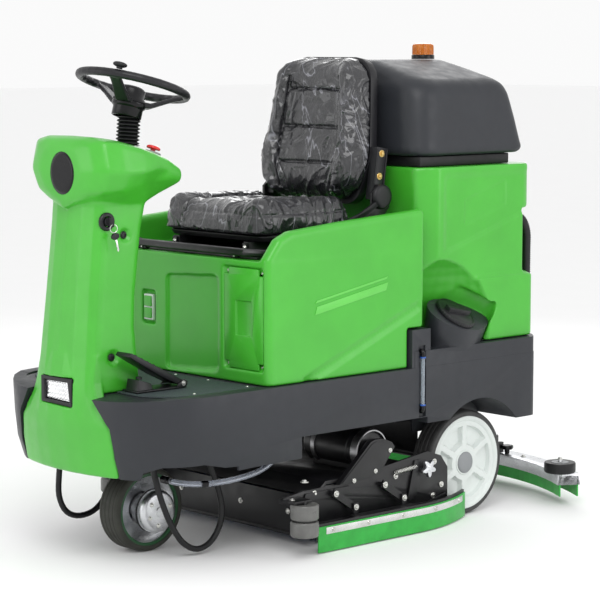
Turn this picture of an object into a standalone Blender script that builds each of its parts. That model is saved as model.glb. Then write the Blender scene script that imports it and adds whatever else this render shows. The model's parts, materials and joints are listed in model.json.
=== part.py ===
"""Ride-on floor scrubber: a battery machine with a steered drive wheel in front, a lifting deck with two
cylindrical brushes in the middle, a seat on a tilting plate over the batteries, a recovery tank with a hinged
lid behind the seat and a curved rear squeegee.

Metres, +Z up. The front faces -Y and the operator's left is +X. Every place below is measured from the
steering axis (y = 0 there), and the empty called scrubber moves the whole machine so that its box is centred."""

import math

import bmesh
import bpy
from mathutils import Matrix, Vector

# ---------------------------------------------------------------- driving dimensions
BOX_CENTRE_Y = 0.6820  # from the steering axis to the middle of the machine's length
GAP = 0.0012  # clearance between pieces that touch

BODY_HALF = 0.400  # dark base
BASE_Z0, BASE_TOP = 0.268, 0.505
MAT_FLOOR = BASE_TOP - 0.006
SKIRT_Z = 0.350  # lower edge beside the brush deck
REAR_TOP = 0.555  # base beside the wheels
REAR_END_Y = 1.402

WHEEL_Y, WHEEL_R, WHEEL_X0, WHEEL_X1 = 1.100, 0.1675, 0.255, 0.340
ARCH_R = 0.215

DRIVE_Y, DRIVE_R, DRIVE_X, DRIVE_W = 0.035, 0.1255, 0.022, 0.088

BOX_HALF, BOX_Y0, BOX_Y1, BOX_Z0, BOX_WELL_Z = 0.385, 0.215, 0.862, 0.5065, 0.865
FLANK = 0.042
TANK_HALF, TANK_Y0, TANK_Y1, TANK_Z0, TANK_TOP = 0.365, 0.880, 1.390, 0.557, 1.110
FILLER = Vector((0.356, 1.022, 0.648))  # middle of the filler cap's seat, on the left
FILLER_UP = Vector((0.555, 0.163, 0.816)).normalized()
FILLER_R = 0.068

COLUMN_HALF, COLUMN_FOOT, COLUMN_REAR = 0.118, 0.134, -0.046
NOSE_Y0, NOSE_Y1 = -0.258, -0.190
STEER_TILT = math.radians(16)
STEER_HUB = Vector((0.0, 0.022, 1.318))
STEER_R, STEER_TUBE = 0.158, 0.0135
BOOT_FOOT = Vector((0.0, 0.0135, 1.1965))  # lower end of the bellows
BOOT_TILT = math.radians(5)

DECK_HALF = 0.362
BRUSH_R, BRUSH_L = 0.078, 0.640
BRUSH_Y = (0.520, 0.800)
BRUSH_Z = BRUSH_R + 0.004

SIDE_X = 0.433  # outer face of the side blades
LINK_Y = (0.486, 0.691)
LINK_TOP_Z = 0.158
LINK_RUN, LINK_DROP = 0.078, 0.050

SQUEEGEE_R = 0.893  # plan radius of the rear squeegee
SQUEEGEE_HALF = 0.480
SQUEEGEE_MID_Y = 1.600
SQUEEGEE_Z0 = 0.030

SEAT_PAN_Y0, SEAT_PAN_Z = 0.340, 0.925
RECLINE = Vector((0.0, 0.800, 1.022))
BACK_TILT = math.radians(8)


# ---------------------------------------------------------------- collections, frame and materials
for old in list(bpy.data.objects):
    bpy.data.objects.remove(old, do_unlink=True)

scene = bpy.context.scene
parts = bpy.data.collections.new("ride_on_scrubber")
cutters = bpy.data.collections.new("cutters")
scene.collection.children.link(parts)
scene.collection.children.link(cutters)

frame = bpy.data.objects.new("scrubber", None)
frame.location.y = -BOX_CENTRE_Y
parts.objects.link(frame)


def material(name, colour, roughness, metallic=0.0):
    made = bpy.data.materials.new(name)
    made.use_nodes = True
    shader = made.node_tree.nodes["Principled BSDF"]
    shader.inputs["Base Color"].default_value = (*colour, 1.0)
    shader.inputs["Roughness"].default_value = roughness
    shader.inputs["Metallic"].default_value = metallic
    made.diffuse_color = (*colour, 1.0)
    return made


GREEN = material("green_moulded", (0.085, 0.52, 0.045), 0.35)
DARK = material("dark_moulded", (0.052, 0.055, 0.062), 0.55)
BLACK = material("black_plastic", (0.012, 0.012, 0.014), 0.5)
STEEL_BLACK = material("black_steel", (0.02, 0.02, 0.022), 0.45, 0.3)
ZINC = material("zinc_steel", (0.62, 0.62, 0.60), 0.3, 1.0)
ALUMINIUM = material("aluminium", (0.62, 0.63, 0.65), 0.35, 1.0)
TYRE_GREY = material("grey_tyre", (0.065, 0.065, 0.062), 0.75)
TYRE_OLIVE = material("olive_tyre", (0.09, 0.095, 0.075), 0.8)
RIM_WHITE = material("white_rim", (0.78, 0.80, 0.78), 0.4)
VINYL = material("seat_vinyl", (0.045, 0.045, 0.05), 0.45)
RUBBER = material("black_rubber", (0.015, 0.015, 0.015), 0.8)
BLADE = material("green_blade", (0.07, 0.45, 0.07), 0.5)
AMBER = material("amber_lens", (0.85, 0.28, 0.01), 0.2)
RED = material("red_button", (0.75, 0.01, 0.01), 0.35)
LENS = material("clear_lens", (0.85, 0.87, 0.9), 0.1)
BRISTLE = material("brush_bristle", (0.05, 0.12, 0.35), 0.9)
GREY = material("grey_plastic", (0.35, 0.35, 0.36), 0.5)
TUBE_CLEAR = material("level_tube", (0.45, 0.5, 0.55), 0.15)


# ---------------------------------------------------------------- builders
def add(name, mesh, look=None, parent=frame, place=Matrix.Identity(4), helper=False):
    obj = bpy.data.objects.new(name, mesh)
    (cutters if helper else parts).objects.link(obj)
    obj.parent = parent
    obj.matrix_basis = place
    if look:
        mesh.materials.clear()
        mesh.materials.append(look)
    if helper:
        obj.hide_render = True
        obj.display_type = "WIRE"
    return obj


def finish_mesh(bm, name):
    bmesh.ops.recalc_face_normals(bm, faces=bm.faces)
    mesh = bpy.data.meshes.new(name)
    bm.to_mesh(mesh)
    bm.free()
    return mesh


def box_mesh(lo, hi):
    lo, hi = Vector(lo), Vector(hi)
    bm = bmesh.new()
    bmesh.ops.create_cube(bm, size=1.0)
    bmesh.ops.scale(bm, vec=hi - lo, verts=bm.verts)
    bmesh.ops.translate(bm, vec=(lo + hi) / 2, verts=bm.verts)
    return finish_mesh(bm, "box")


def turn_to(axis):
    """The rotation that takes +Z to the axis."""
    return Vector((0, 0, 1)).rotation_difference(Vector(axis)).to_matrix().to_4x4()


def cylinder_mesh(centre, axis, radius, length, sides=24, radius_top=None):
    bm = bmesh.new()
    top = radius if radius_top is None else radius_top
    bmesh.ops.create_cone(
        bm, cap_ends=True, segments=sides, radius1=radius, radius2=top, depth=length
    )
    bmesh.ops.transform(bm, matrix=Matrix.Translation(centre) @ turn_to(axis), verts=bm.verts)
    return finish_mesh(bm, "cylinder")


def evaluated_mesh(obj):
    """The object's mesh as its curve or modifiers make it, in the parent's space, with the object removed."""
    bpy.context.view_layer.update()
    graph = bpy.context.evaluated_depsgraph_get()
    mesh = bpy.data.meshes.new_from_object(obj.evaluated_get(graph))
    mesh.transform(obj.matrix_basis)
    bm = bmesh.new()
    bm.from_mesh(mesh)
    bmesh.ops.remove_doubles(bm, verts=bm.verts, dist=1e-6)
    bmesh.ops.recalc_face_normals(bm, faces=bm.faces)
    bm.to_mesh(mesh)
    bm.free()
    bpy.data.objects.remove(obj, do_unlink=True)
    return mesh


PLANES = {
    "Z": Matrix.Identity(4),  # outline (x, y), thick along +Z
    "X": Matrix(((0, 0, 1, 0), (1, 0, 0, 0), (0, 1, 0, 0), (0, 0, 0, 1))),  # outline (y, z), along +X
    "Y": Matrix(((1, 0, 0, 0), (0, 0, -1, 0), (0, 1, 0, 0), (0, 0, 0, 1))),  # outline (x, z), along Y
}


def plate_mesh(outline, axis, start, end):
    """A flat outline made thick along X, Y or Z, from start to end."""
    curve = bpy.data.curves.new("outline", "CURVE")
    curve.dimensions = "2D"
    curve.fill_mode = "BOTH"
    curve.extrude = abs(end - start) / 2
    spline = curve.splines.new("POLY")
    spline.points.add(len(outline) - 1)
    for point, (u, v) in zip(spline.points, outline):
        point.co = (u, v, 0, 1)
    spline.use_cyclic_u = True
    obj = bpy.data.objects.new("outline", curve)
    cutters.objects.link(obj)
    middle = (start + end) / 2
    shift = {"X": (middle, 0, 0), "Y": (0, middle, 0), "Z": (0, 0, middle)}[axis]
    obj.matrix_basis = Matrix.Translation(shift) @ PLANES[axis]
    mesh = evaluated_mesh(obj)
    bm = bmesh.new()
    bm.from_mesh(mesh)
    bmesh.ops.dissolve_limit(bm, angle_limit=math.radians(0.2), verts=bm.verts, edges=bm.edges)
    bm.to_mesh(mesh)
    bm.free()
    return mesh


def rounded(corners, steps=4):
    """An outline with each (u, v, radius) corner as an arc."""
    points = []
    for i, (u, v, radius) in enumerate(corners):
        here = Vector((u, v))
        before = (Vector(corners[i - 1][:2]) - here).normalized()
        after = (Vector(corners[(i + 1) % len(corners)][:2]) - here).normalized()
        if radius <= 0:
            points.append((u, v))
            continue
        half = before.angle(after) / 2
        centre = here + (before + after).normalized() * (radius / math.sin(half))
        first = here + before * (radius / math.tan(half)) - centre
        last = here + after * (radius / math.tan(half)) - centre
        sweep = first.angle_signed(last)
        for step in range(steps + 1):
            turn = Matrix.Rotation(-sweep * step / steps, 2)
            points.append(tuple(centre + turn @ first))
    return points


def mirrored(half):
    """A closed outline from its +u half, listed from the low v end to the high v end."""
    return [*half, *[(-u, v) for u, v in reversed(half) if abs(u) > 1e-9]]


def tube_mesh(points, radius, resolution=2, smooth=False):
    curve = bpy.data.curves.new("route", "CURVE")
    curve.dimensions = "3D"
    curve.bevel_depth = radius
    curve.bevel_resolution = resolution
    curve.use_fill_caps = True
    spline = curve.splines.new("POLY")
    points = smooth_route(points) if smooth else points
    spline.points.add(len(points) - 1)
    for point, place in zip(spline.points, points):
        point.co = (*place, 1)
    obj = bpy.data.objects.new("route", curve)
    cutters.objects.link(obj)
    return evaluated_mesh(obj)


def smooth_route(points, per_span=4):
    """Points on the Catmull-Rom curve through the route's own points."""
    route = [Vector(p) for p in points]
    ends = [2 * route[0] - route[1], *route, 2 * route[-1] - route[-2]]
    found = []
    for a, b, c, d in zip(ends, ends[1:], ends[2:], ends[3:]):
        for step in range(per_span):
            t = step / per_span
            found.append(
                0.5 * (2 * b + (c - a) * t + (2 * a - 5 * b + 4 * c - d) * t**2
                       + (3 * b - a - 3 * c + d) * t**3)
            )
    return [*found, route[-1]]


def lathe_mesh(profile, sides=28, closed=False):
    """A solid turned about Z. The profile runs down the outer side, from the axis to the axis unless closed."""
    bm = bmesh.new()
    verts = [bm.verts.new((r, 0, z)) for r, z in profile]
    for a, b in zip(verts, verts[1:]):
        bm.edges.new((a, b))
    if closed:
        bm.edges.new((verts[-1], verts[0]))
    mesh = bpy.data.meshes.new("profile")
    bm.to_mesh(mesh)
    bm.free()
    obj = bpy.data.objects.new("profile", mesh)
    cutters.objects.link(obj)
    screw = obj.modifiers.new("turn", "SCREW")
    screw.axis = "Z"
    screw.angle = math.tau
    screw.steps = screw.render_steps = sides
    screw.use_merge_vertices = True
    screw.merge_threshold = 1e-5
    return evaluated_mesh(obj)


def loft_mesh(rings):
    """A closed skin through rings of equally many points, with both ends capped."""
    bm = bmesh.new()
    rows = [[bm.verts.new(p) for p in ring] for ring in rings]
    for low, high in zip(rows, rows[1:]):
        for i in range(len(low)):
            j = (i + 1) % len(low)
            bm.faces.new((low[i], low[j], high[j], high[i]))
    bm.faces.new(list(reversed(rows[0])))
    bm.faces.new(rows[-1])
    bmesh.ops.triangulate(bm, faces=bm.faces)
    return finish_mesh(bm, "loft")


def soft(mesh, width, segments):
    """The mesh with its sharp edges rounded over."""
    obj = add("rounding", mesh, helper=True)
    bevel = obj.modifiers.new("bevel", "BEVEL")
    bevel.width = width
    bevel.segments = segments
    bevel.limit_method = "ANGLE"
    bevel.angle_limit = math.radians(50)
    return evaluated_mesh(obj)


def moved(mesh, matrix):
    mesh.transform(matrix)
    if matrix.to_3x3().determinant() < 0:
        mesh.flip_normals()
    return mesh


def boolean(obj, mesh, operation):
    helper = add(f"{obj.name}_{operation.lower()}_{len(obj.modifiers)}", mesh, helper=True)
    modifier = obj.modifiers.new(operation.lower(), "BOOLEAN")
    modifier.operation = operation
    modifier.solver = "EXACT"
    modifier.object = helper


def build(name, look, solid, joined=(), cut=(), pivot=(0, 0, 0)):
    """A node: a first solid, what is joined to it and what is cut from it, with its origin at the pivot."""
    obj = add(name, solid, look)
    for mesh in joined:
        boolean(obj, mesh, "UNION")
    for mesh in cut:
        boolean(obj, mesh, "DIFFERENCE")
    if joined or cut:
        name_mesh = evaluated_mesh(obj)
        obj = add(name, name_mesh, look)
    pivot = Vector(pivot)
    obj.data.transform(Matrix.Translation(-pivot))
    obj.location = pivot
    obj.data.shade_smooth()
    obj.data.set_sharp_from_angle(angle=math.radians(32))
    return obj


def across(mesh_maker, *args, **kwargs):
    """The same mesh at +X and, mirrored, at -X."""
    return [
        mesh_maker(*args, **kwargs),
        moved(mesh_maker(*args, **kwargs), Matrix.Scale(-1, 4, (1, 0, 0))),
    ]


# ---------------------------------------------------------------- dark base with the filler towers
def base_outline(inset=0.0, tuck=0.0):
    """The base in plan: a boat-shaped front and square rear corners. The tuck draws the front corners in."""
    front = [(0.0, -0.243), (0.147, -0.243), (0.205, -0.234), (0.250, -0.217), (0.300, -0.190), (0.352, -0.148),
             (0.385, -0.098), (0.400, -0.030)]
    corner = [(x - (inset + tuck) * (x / BODY_HALF) ** 2, y + (inset + tuck) * (1 - 0.5 * (x / BODY_HALF) ** 4))
              for x, y in front]
    side = BODY_HALF - inset
    rear = rounded([(side, 0.150, 0), (side, 0.800, 0), (side - 0.002, 1.352, 0.040),
                    (0.345, REAR_END_Y, 0.040), (0.0, REAR_END_Y, 0)], 5)
    return mirrored([*corner, *rear])


def base_ring(z, tuck):
    return [(x, y, z) for x, y in base_outline(tuck=tuck)]


def tower_ring(centre, up, wide, fore, aft):
    """A teardrop in the plane across the given direction: round in front and drawn out behind."""
    back = (Vector((0, 1, 0)) - up * up.y).normalized()
    out = back.cross(up)
    ring = []
    for step in range(20):
        angle = math.tau * step / 20
        along = math.cos(angle)
        reach = aft if along > 0 else fore
        slim = 1.0 - 0.30 * max(0.0, along) ** 2
        ring.append(centre + back * (along * reach) + out * (math.sin(angle) * wide * slim))
    return ring


def filler_tower(grow=0.0, above=0.0):
    """A tower that leans out as it rises and ends in the tilted seat of the cap."""
    half_up = (FILLER_UP + Vector((0, 0, 1.2))).normalized()
    rings = [
        tower_ring(Vector((0.322, 1.030, 0.500)), Vector((0, 0, 1)), 0.066 + grow, 0.096 + grow, 0.110 + grow),
        tower_ring(Vector((0.336, 1.028, 0.580)), half_up, 0.071 + grow, 0.104 + grow, 0.135 + grow),
        tower_ring(FILLER, FILLER_UP, 0.078 + grow, 0.116 + grow, 0.165 + grow),
    ]
    if above:
        rings.append(tower_ring(FILLER + FILLER_UP * above, FILLER_UP, 0.078 + grow, 0.116 + grow, 0.165 + grow))
    return loft_mesh(rings)


def base_shell():
    skirt = loft_mesh([base_ring(BASE_Z0, 0.030), base_ring(0.330, 0.012), base_ring(0.410, 0.004),
                       base_ring(BASE_TOP, 0.0)])
    rear = plate_mesh(
        mirrored(rounded([(0.0, 0.800, 0), (BODY_HALF - 0.001, 0.800, 0.01), (BODY_HALF - 0.003, 1.351, 0.04),
                          (0.344, REAR_END_Y - 0.001, 0.04), (0.0, REAR_END_Y - 0.001, 0)], 5)),
        "Z", 0.45, REAR_TOP)
    shoulders = across(box_mesh, (0.300, 0.795, 0.50), (BODY_HALF - 0.004, 0.875, 0.622))
    arch = across(cylinder_mesh, (0.345, WHEEL_Y, WHEEL_R), (1, 0, 0), ARCH_R, 0.22, 40)
    hollow = [(x, y) for x, y in base_outline(0.018) if y < 0.2]
    inside = [*[p for p in hollow if p[0] >= 0], (0.384, 0.800), (-0.384, 0.800), *[p for p in hollow if p[0] < 0]]
    nose_cut = [(0.2210, 0.10), (0.2205, 0.345), (0.2135, 0.414), (0.1520, 0.492), (0.1380, 0.530), (0.1365, 0.60)]
    cuts = [
        plate_mesh([(x, max(y, -0.168)) for x, y in inside], "Z", 0.10, BASE_TOP - 0.016),  # open underside
        box_mesh((-0.225, 0.790, 0.10), (0.225, 1.30, 0.425)),  # tunnel for axle and squeegee arm
        box_mesh((-0.6, 0.335, 0.10), (0.6, 0.860, SKIRT_Z)),
        box_mesh((-0.6, 1.265, 0.10), (0.6, 1.60, 0.300)),
        box_mesh((-0.6, 0.850, 0.10), (0.6, 0.960, 0.330)),
        box_mesh((-0.290, 0.262, 0.35), (0.290, 0.770, 0.60)),  # battery well
        plate_mesh(mirrored([(0, -0.172), (0.250, -0.172), (0.318, -0.128), (0.345, -0.080), (0.350, 0.0),
                             (0.350, BOX_Y0 - 0.004), (0, BOX_Y0 - 0.004)]), "Z", MAT_FLOOR, 0.60),
        plate_mesh(mirrored([(0, -0.30), (0.1365, -0.30), (0.1365, -0.150), (0, -0.150)]), "Z", MAT_FLOOR, 0.60),
        plate_mesh([(-0.40, 0.4765), (-0.110, 0.5045), (-0.110, 0.62), (-0.40, 0.62)], "X", -0.6, 0.6),  # front rim
        box_mesh((-0.090, -0.155, 0.45), (0.090, -0.085, 0.56)),  # way into the column
        plate_mesh([(-0.050, 0.20), (0.345, 0.20), (0.345, 0.2865), (0.150, 0.2840), (-0.050, 0.2670)], "X", -0.6, 0.6),
        plate_mesh(mirrored(nose_cut), "Y", -0.45, NOSE_Y1 + GAP),
        *arch,
        *across(cylinder_mesh, FILLER, FILLER_UP, 0.052, 0.080, 24),
        *across(box_mesh, (0.375, 0.030, 0.10), (0.45, 0.100, 0.292)),
        *across(box_mesh, (BODY_HALF - 0.010, 0.822, 0.352), (0.45, 0.852, 0.572)),
    ]
    build("base_shell", DARK, skirt, [rear, *shoulders, *across(filler_tower)], cuts)


def platform_mat():
    """The mat fills the recess between the column and the seat box, with a tongue on each side of the column."""
    z0, z1 = MAT_FLOOR + GAP, BASE_TOP - 0.001
    body = plate_mesh(mirrored([(0, COLUMN_REAR + 0.020), (0.347, COLUMN_REAR + 0.020), (0.347, BOX_Y0 - 0.008),
                                (0, BOX_Y0 - 0.008)]), "Z", z0, z1)
    tongue = [(COLUMN_FOOT + 0.006, COLUMN_REAR + 0.030), (COLUMN_FOOT + 0.006, -0.140), (0.247, -0.140),
              (0.296, -0.112), (0.330, -0.075), (0.346, COLUMN_REAR + 0.030)]
    build("platform_mat", RUBBER, body, across(plate_mesh, tongue, "Z", z0, z1))


def level_gauge():
    x, y = BODY_HALF + 0.001, 0.837
    post = cylinder_mesh((x, y, 0.462), (0, 0, 1), 0.006, 0.20, 12)
    elbows = [box_mesh((BODY_HALF - 0.0085, y - 0.009, z - 0.013), (x + 0.008, y + 0.009, z + 0.013))
              for z in (0.374, 0.551)]
    build("level_tube", TUBE_CLEAR, post, elbows)


# ---------------------------------------------------------------- column, nose and dash
def dash_ring(y, top, wide_top, middle, low, inner, bottom):
    """Half a section of the head, mirrored: flat top, shoulder, widest line, lower crease, inner edge, keel."""
    half = [(0.0, top), (wide_top * 0.65, top - 0.002), (wide_top, top - 0.014), middle, low, inner, (0.0, bottom)]
    ring = [(x, y, z) for x, z in half]
    return ring + [(-x, y, z) for x, z in reversed(half[1:-1])]


def dash_head():
    rings = [
        dash_ring(-0.231, 1.198, 0.072, (0.100, 1.135), (0.070, 1.082), (0.036, 1.058), 1.044),
        dash_ring(-0.219, 1.222, 0.118, (0.148, 1.133), (0.116, 1.074), (0.060, 1.044), 1.022),
        dash_ring(-0.193, 1.230, 0.158, (0.181, 1.130), (0.150, 1.070), (0.100, 1.048), 1.021),
        dash_ring(-0.135, 1.222, 0.175, (0.194, 1.128), (0.166, 1.076), (0.117, 1.040), 1.010),
        dash_ring(-0.065, 1.205, 0.178, (0.194, 1.130), (0.169, 1.090), (0.117, 1.032), 1.010),
        dash_ring(-0.020, 1.193, 0.172, (0.186, 1.140), (0.165, 1.103), (0.117, 1.032), 1.015),
        dash_ring(0.040, 1.172, 0.160, (0.168, 1.132), (0.160, 1.101), (0.112, 1.058), 1.050),
        dash_ring(0.098, 1.142, 0.146, (0.152, 1.112), (0.148, 1.094), (0.104, 1.087), 1.086),
    ]
    return loft_mesh(rings)


def nose_ring(z, half, bow):
    """A plan section of the nose: a shallow bow in front, straight behind."""
    front = [(half * u, NOSE_Y0 + bow + 0.034 * u**2) for u in (1.0, 0.8, 0.5, 0.2, -0.2, -0.5, -0.8, -1.0)]
    return [(x, y, z) for x, y in [(half, NOSE_Y1), *front, (-half, NOSE_Y1)]]


def nose():
    return loft_mesh([
        nose_ring(0.266, 0.218, 0.022), nose_ring(0.340, 0.217, 0.008), nose_ring(0.412, 0.210, 0.002),
        nose_ring(0.490, 0.148, 0.0), nose_ring(0.530, 0.1345, 0.002), nose_ring(0.610, 0.1285, 0.0145),
    ])


def column_ring(z, half, front, rear):
    """A plan section of the column: a shallow bow in front, straight sides and a flat back."""
    right = [(0.0, rear), (half - 0.016, rear), (half - 0.004, rear - 0.005), (half, rear - 0.018),
             (half, front + 0.055), (half * 0.97, front + 0.032), (half * 0.85, front + 0.018),
             (half * 0.5, front + 0.004), (0.0, front)]
    return [(x, y, z) for x, y in right] + [(-x, y, z) for x, y in reversed(right[1:-1])]


def front_column():
    column = loft_mesh([
        column_ring(MAT_FLOOR + GAP, COLUMN_FOOT, -0.2545, COLUMN_REAR), column_ring(0.600, 0.1295, -0.2430, -0.052),
        column_ring(0.680, 0.1255, -0.2350, -0.058), column_ring(0.770, 0.1220, -0.2260, -0.053),
        column_ring(0.870, 0.1200, -0.2150, -0.038), column_ring(0.960, 0.1185, -0.2060, -0.026),
        column_ring(1.050, 0.1180, -0.1980, -0.005), column_ring(1.085, 0.1175, -0.1960, 0.012),
    ])
    boot_axis = Vector((0, math.sin(BOOT_TILT), math.cos(BOOT_TILT)))
    boss = cylinder_mesh(BOOT_FOOT - boot_axis * 0.0265, boot_axis, 0.052, 0.050, 24, 0.039)
    headlight = plate_mesh([(-0.079, 0.463), (0.069, 0.459), (0.069, 0.543), (-0.079, 0.541)], "Y", -0.30, -0.222)
    hollow = loft_mesh([[(-x, y0, z), (x, y0, z), (x, y1, z), (-x, y1, z)]
                        for x, y0, y1, z in ((0.101, -0.211, -0.080, 0.40), (0.097, -0.172, -0.045, 1.12))])
    cuts = [
        hollow,
        headlight,
        cylinder_mesh(BOOT_FOOT, boot_axis, 0.022, 0.090, 20),
        *across(cylinder_mesh, (0.1195, -0.090, 0.946), (1, 0, 0), 0.021, 0.014, 20),
        *across(cylinder_mesh, (0.1195, -0.090, 0.946), (1, 0, 0), 0.012, 0.030, 16),
        *across(cylinder_mesh, (0.1295, -0.144, 0.600), (1, 0, 0), 0.021, 0.016, 20),
        *across(cylinder_mesh, (0.1295, -0.144, 0.600), (1, 0, 0), 0.012, 0.034, 16),
        cylinder_mesh(KEY, (1, 0, 0), 0.0123, 0.04, 16),
        cylinder_mesh(ESTOP_SEAT - ESTOP_AXIS * 0.004, ESTOP_AXIS, 0.0103, 0.020, 24),
    ]
    build("front_column", GREEN, column, [dash_head(), nose(), boss], cuts)


def headlight():
    outline = [(-0.0775, 0.4645), (0.0675, 0.4605), (0.0675, 0.5415), (-0.0775, 0.5395)]
    window = [(-0.060, 0.474), (0.058, 0.471), (0.048, 0.531), (-0.064, 0.530)]
    build("headlight_bezel", BLACK, plate_mesh(outline, "Y", -0.249, -0.2235),
          cut=[plate_mesh(window, "Y", -0.26, -0.234)])
    inner = [(-0.058, 0.476), (0.056, 0.473), (0.047, 0.529), (-0.062, 0.528)]
    build("headlight_lens", LENS, plate_mesh(inner, "Y", -0.246, -0.234 - GAP))


def ignition_key():
    stem = cylinder_mesh(KEY - Vector((0.003, 0, 0)), (1, 0, 0), 0.0120, 0.022, 16)
    bow = box_mesh(KEY + Vector((0.006, -0.0015, -0.013)), KEY + Vector((0.034, 0.0015, 0.013)))
    build("ignition_key", BLACK, stem, [bow], pivot=KEY)


ESTOP_SEAT = Vector((0.112, 0.016, 1.1785))
ESTOP_AXIS = Vector((0.06, 0.33, 1.0)).normalized()
KEY = Vector((COLUMN_HALF, -0.156, 0.988))


def emergency_stop():
    profile = [(0, 0.0195), (0.012, 0.0190), (0.0190, 0.0163), (0.0205, 0.0140), (0.0205, 0.0105), (0.0180, 0.0085),
               (0.0100, 0.0085), (0.0100, -0.004), (0, -0.004)]
    place = Matrix.Translation(ESTOP_SEAT) @ turn_to(ESTOP_AXIS)
    build("estop_button", RED, moved(lathe_mesh(profile, 24), place), pivot=ESTOP_SEAT)


# ---------------------------------------------------------------- steering
def steering_axis():
    return Vector((0, math.sin(STEER_TILT), math.cos(STEER_TILT)))


def in_steering(mesh):
    return moved(mesh, Matrix.Translation(STEER_HUB) @ turn_to(steering_axis()))


def steering_bellows():
    ribs, height = 7, 0.0845
    profile = [(0.0, height), (0.025, height)]
    for i in range(ribs):
        z = height * (ribs - i - 0.5) / ribs
        profile += [(0.034, z + 0.002), (0.034, z - 0.002), (0.027, z - 0.006 if i < ribs - 1 else 0.0)]
    profile += [(0.0, 0.0)]
    place = Matrix.Translation(BOOT_FOOT) @ Matrix.Rotation(-BOOT_TILT, 4, "X")
    build("steering_bellows", RUBBER, moved(lathe_mesh(profile, 16), place))


def steering_wheel():
    rim_z = 0.052
    loop = [(STEER_R + STEER_TUBE * math.cos(a), rim_z + STEER_TUBE * math.sin(a))
            for a in (math.pi / 2 - math.tau * i / 8 for i in range(8))]
    rim = lathe_mesh(loop, 36, closed=True)
    hub = lathe_mesh([(0, 0.030), (0.030, 0.026), (0.042, 0.012), (0.044, -0.006), (0.034, -0.010),
                      (0.034, -0.028), (0, -0.028)], 24)
    spokes = []
    for angle in (math.radians(a) for a in (60, 180, 300)):
        out = Vector((math.cos(angle), math.sin(angle), 0))
        side = Vector((-math.sin(angle), math.cos(angle), 0))
        stations = [(0.020, 0.000, 0.026, 0.008), (0.060, 0.002, 0.022, 0.008), (0.110, 0.030, 0.018, 0.007),
                    (0.154, 0.052, 0.016, 0.007)]
        spokes.append(loft_mesh([
            [out * r + side * w + Vector((0, 0, z - t)), out * r + side * w + Vector((0, 0, z + t)),
             out * r - side * w + Vector((0, 0, z + t)), out * r - side * w + Vector((0, 0, z - t))]
            for r, z, w, t in stations]))
    meshes = [in_steering(m) for m in (rim, hub, *spokes)]
    build("steering_wheel", BLACK, meshes[0], meshes[1:], pivot=STEER_HUB)
    angle = math.radians(305)
    base = Vector((STEER_R * math.cos(angle), STEER_R * math.sin(angle), rim_z + STEER_TUBE + GAP))
    profile = [(0, 0.034), (0.014, 0.032), (0.021, 0.022), (0.018, 0.011), (0.008, 0.006), (0.009, 0.0), (0, 0.0)]
    knob = moved(lathe_mesh(profile, 20), Matrix.Translation(base))
    place = Matrix.Translation(STEER_HUB) @ turn_to(steering_axis())
    build("spinner_knob", BLACK, in_steering(knob), pivot=place @ base)


# ---------------------------------------------------------------- drive unit
def drive_unit():
    x0, x1 = DRIVE_X - DRIVE_W / 2, DRIVE_X + DRIVE_W / 2
    to_x = Matrix.Translation((DRIVE_X, DRIVE_Y, DRIVE_R)) @ turn_to((1, 0, 0))
    half = DRIVE_W / 2
    tyre = [(DRIVE_R - 0.006, half), (DRIVE_R, half - 0.008), (DRIVE_R, -half + 0.008),
            (DRIVE_R - 0.006, -half), (0.108, -half), (0.108, half)]
    build("drive_tyre", TYRE_OLIVE, moved(lathe_mesh(tyre, 32, closed=True), to_x),
          pivot=(DRIVE_X, DRIVE_Y, DRIVE_R))
    rim = [(0.1075, half - 0.002), (0.1075, -half + 0.002), (0.050, -half + 0.002), (0.050, -0.004),
           (0.050, 0.008), (0.062, 0.010), (0.096, half - 0.012), (0.100, half - 0.002)]
    build("drive_rim", ALUMINIUM, moved(lathe_mesh(rim, 32, closed=True), to_x),
          pivot=(DRIVE_X, DRIVE_Y, DRIVE_R))
    stub = cylinder_mesh((DRIVE_X - 0.002, DRIVE_Y, DRIVE_R), (1, 0, 0), 0.046, 0.092, 24)
    cover = lathe_mesh([(0, 0.092), (0.052, 0.092), (0.062, 0.082), (0.064, 0.052), (0.040, 0.052),
                        (0.040, 0.040), (0, 0.040)], 32)
    build("hub_motor", ALUMINIUM, moved(cover, to_x), [stub])
    arm_x0, arm_x1 = x0 - 0.022, x0 - 0.008
    leg = plate_mesh([(DRIVE_Y - 0.045, DRIVE_R - 0.045), (DRIVE_Y + 0.045, DRIVE_R - 0.045),
                      (DRIVE_Y + 0.060, 0.300), (DRIVE_Y - 0.060, 0.300)], "X", arm_x0, arm_x1)
    crown = box_mesh((arm_x0, DRIVE_Y - 0.060, 0.286), (x1 + 0.004, DRIVE_Y + 0.060, 0.306))
    post = cylinder_mesh((0, DRIVE_Y, 0.330), (0, 0, 1), 0.060, 0.060, 32)
    build("drive_fork", STEEL_BLACK, leg, [crown, post], cut=[
        cylinder_mesh((DRIVE_X - 0.06, DRIVE_Y, DRIVE_R), (1, 0, 0), 0.0472, 0.10, 24)],
        pivot=(0, DRIVE_Y, 0.30))


# ---------------------------------------------------------------- frame, batteries, rear wheels
def chassis_frame():
    rails = across(box_mesh, (0.150, 0.170, 0.3725), (0.190, 1.290, 0.400))
    front_plate = box_mesh((-0.190, DRIVE_Y - 0.130, 0.362), (0.190, 0.300, 0.374))
    cross = [box_mesh((-0.170, y, 0.3745), (0.170, y + 0.04, 0.398)) for y in (0.340, 0.905, 1.245)]
    hangers = across(box_mesh, (0.178, WHEEL_Y - 0.03, 0.130), (0.1895, WHEEL_Y + 0.03, 0.385))
    axle = cylinder_mesh((0, WHEEL_Y, WHEEL_R), (1, 0, 0), 0.0125, 2 * (WHEEL_X1 - 0.014), 16)
    posts = across(box_mesh, (0.100, 1.283, 0.235), (0.128, 1.287, 0.380))
    build("chassis_frame", STEEL_BLACK, front_plate, [*rails, *cross, *hangers, axle, *posts])


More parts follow.
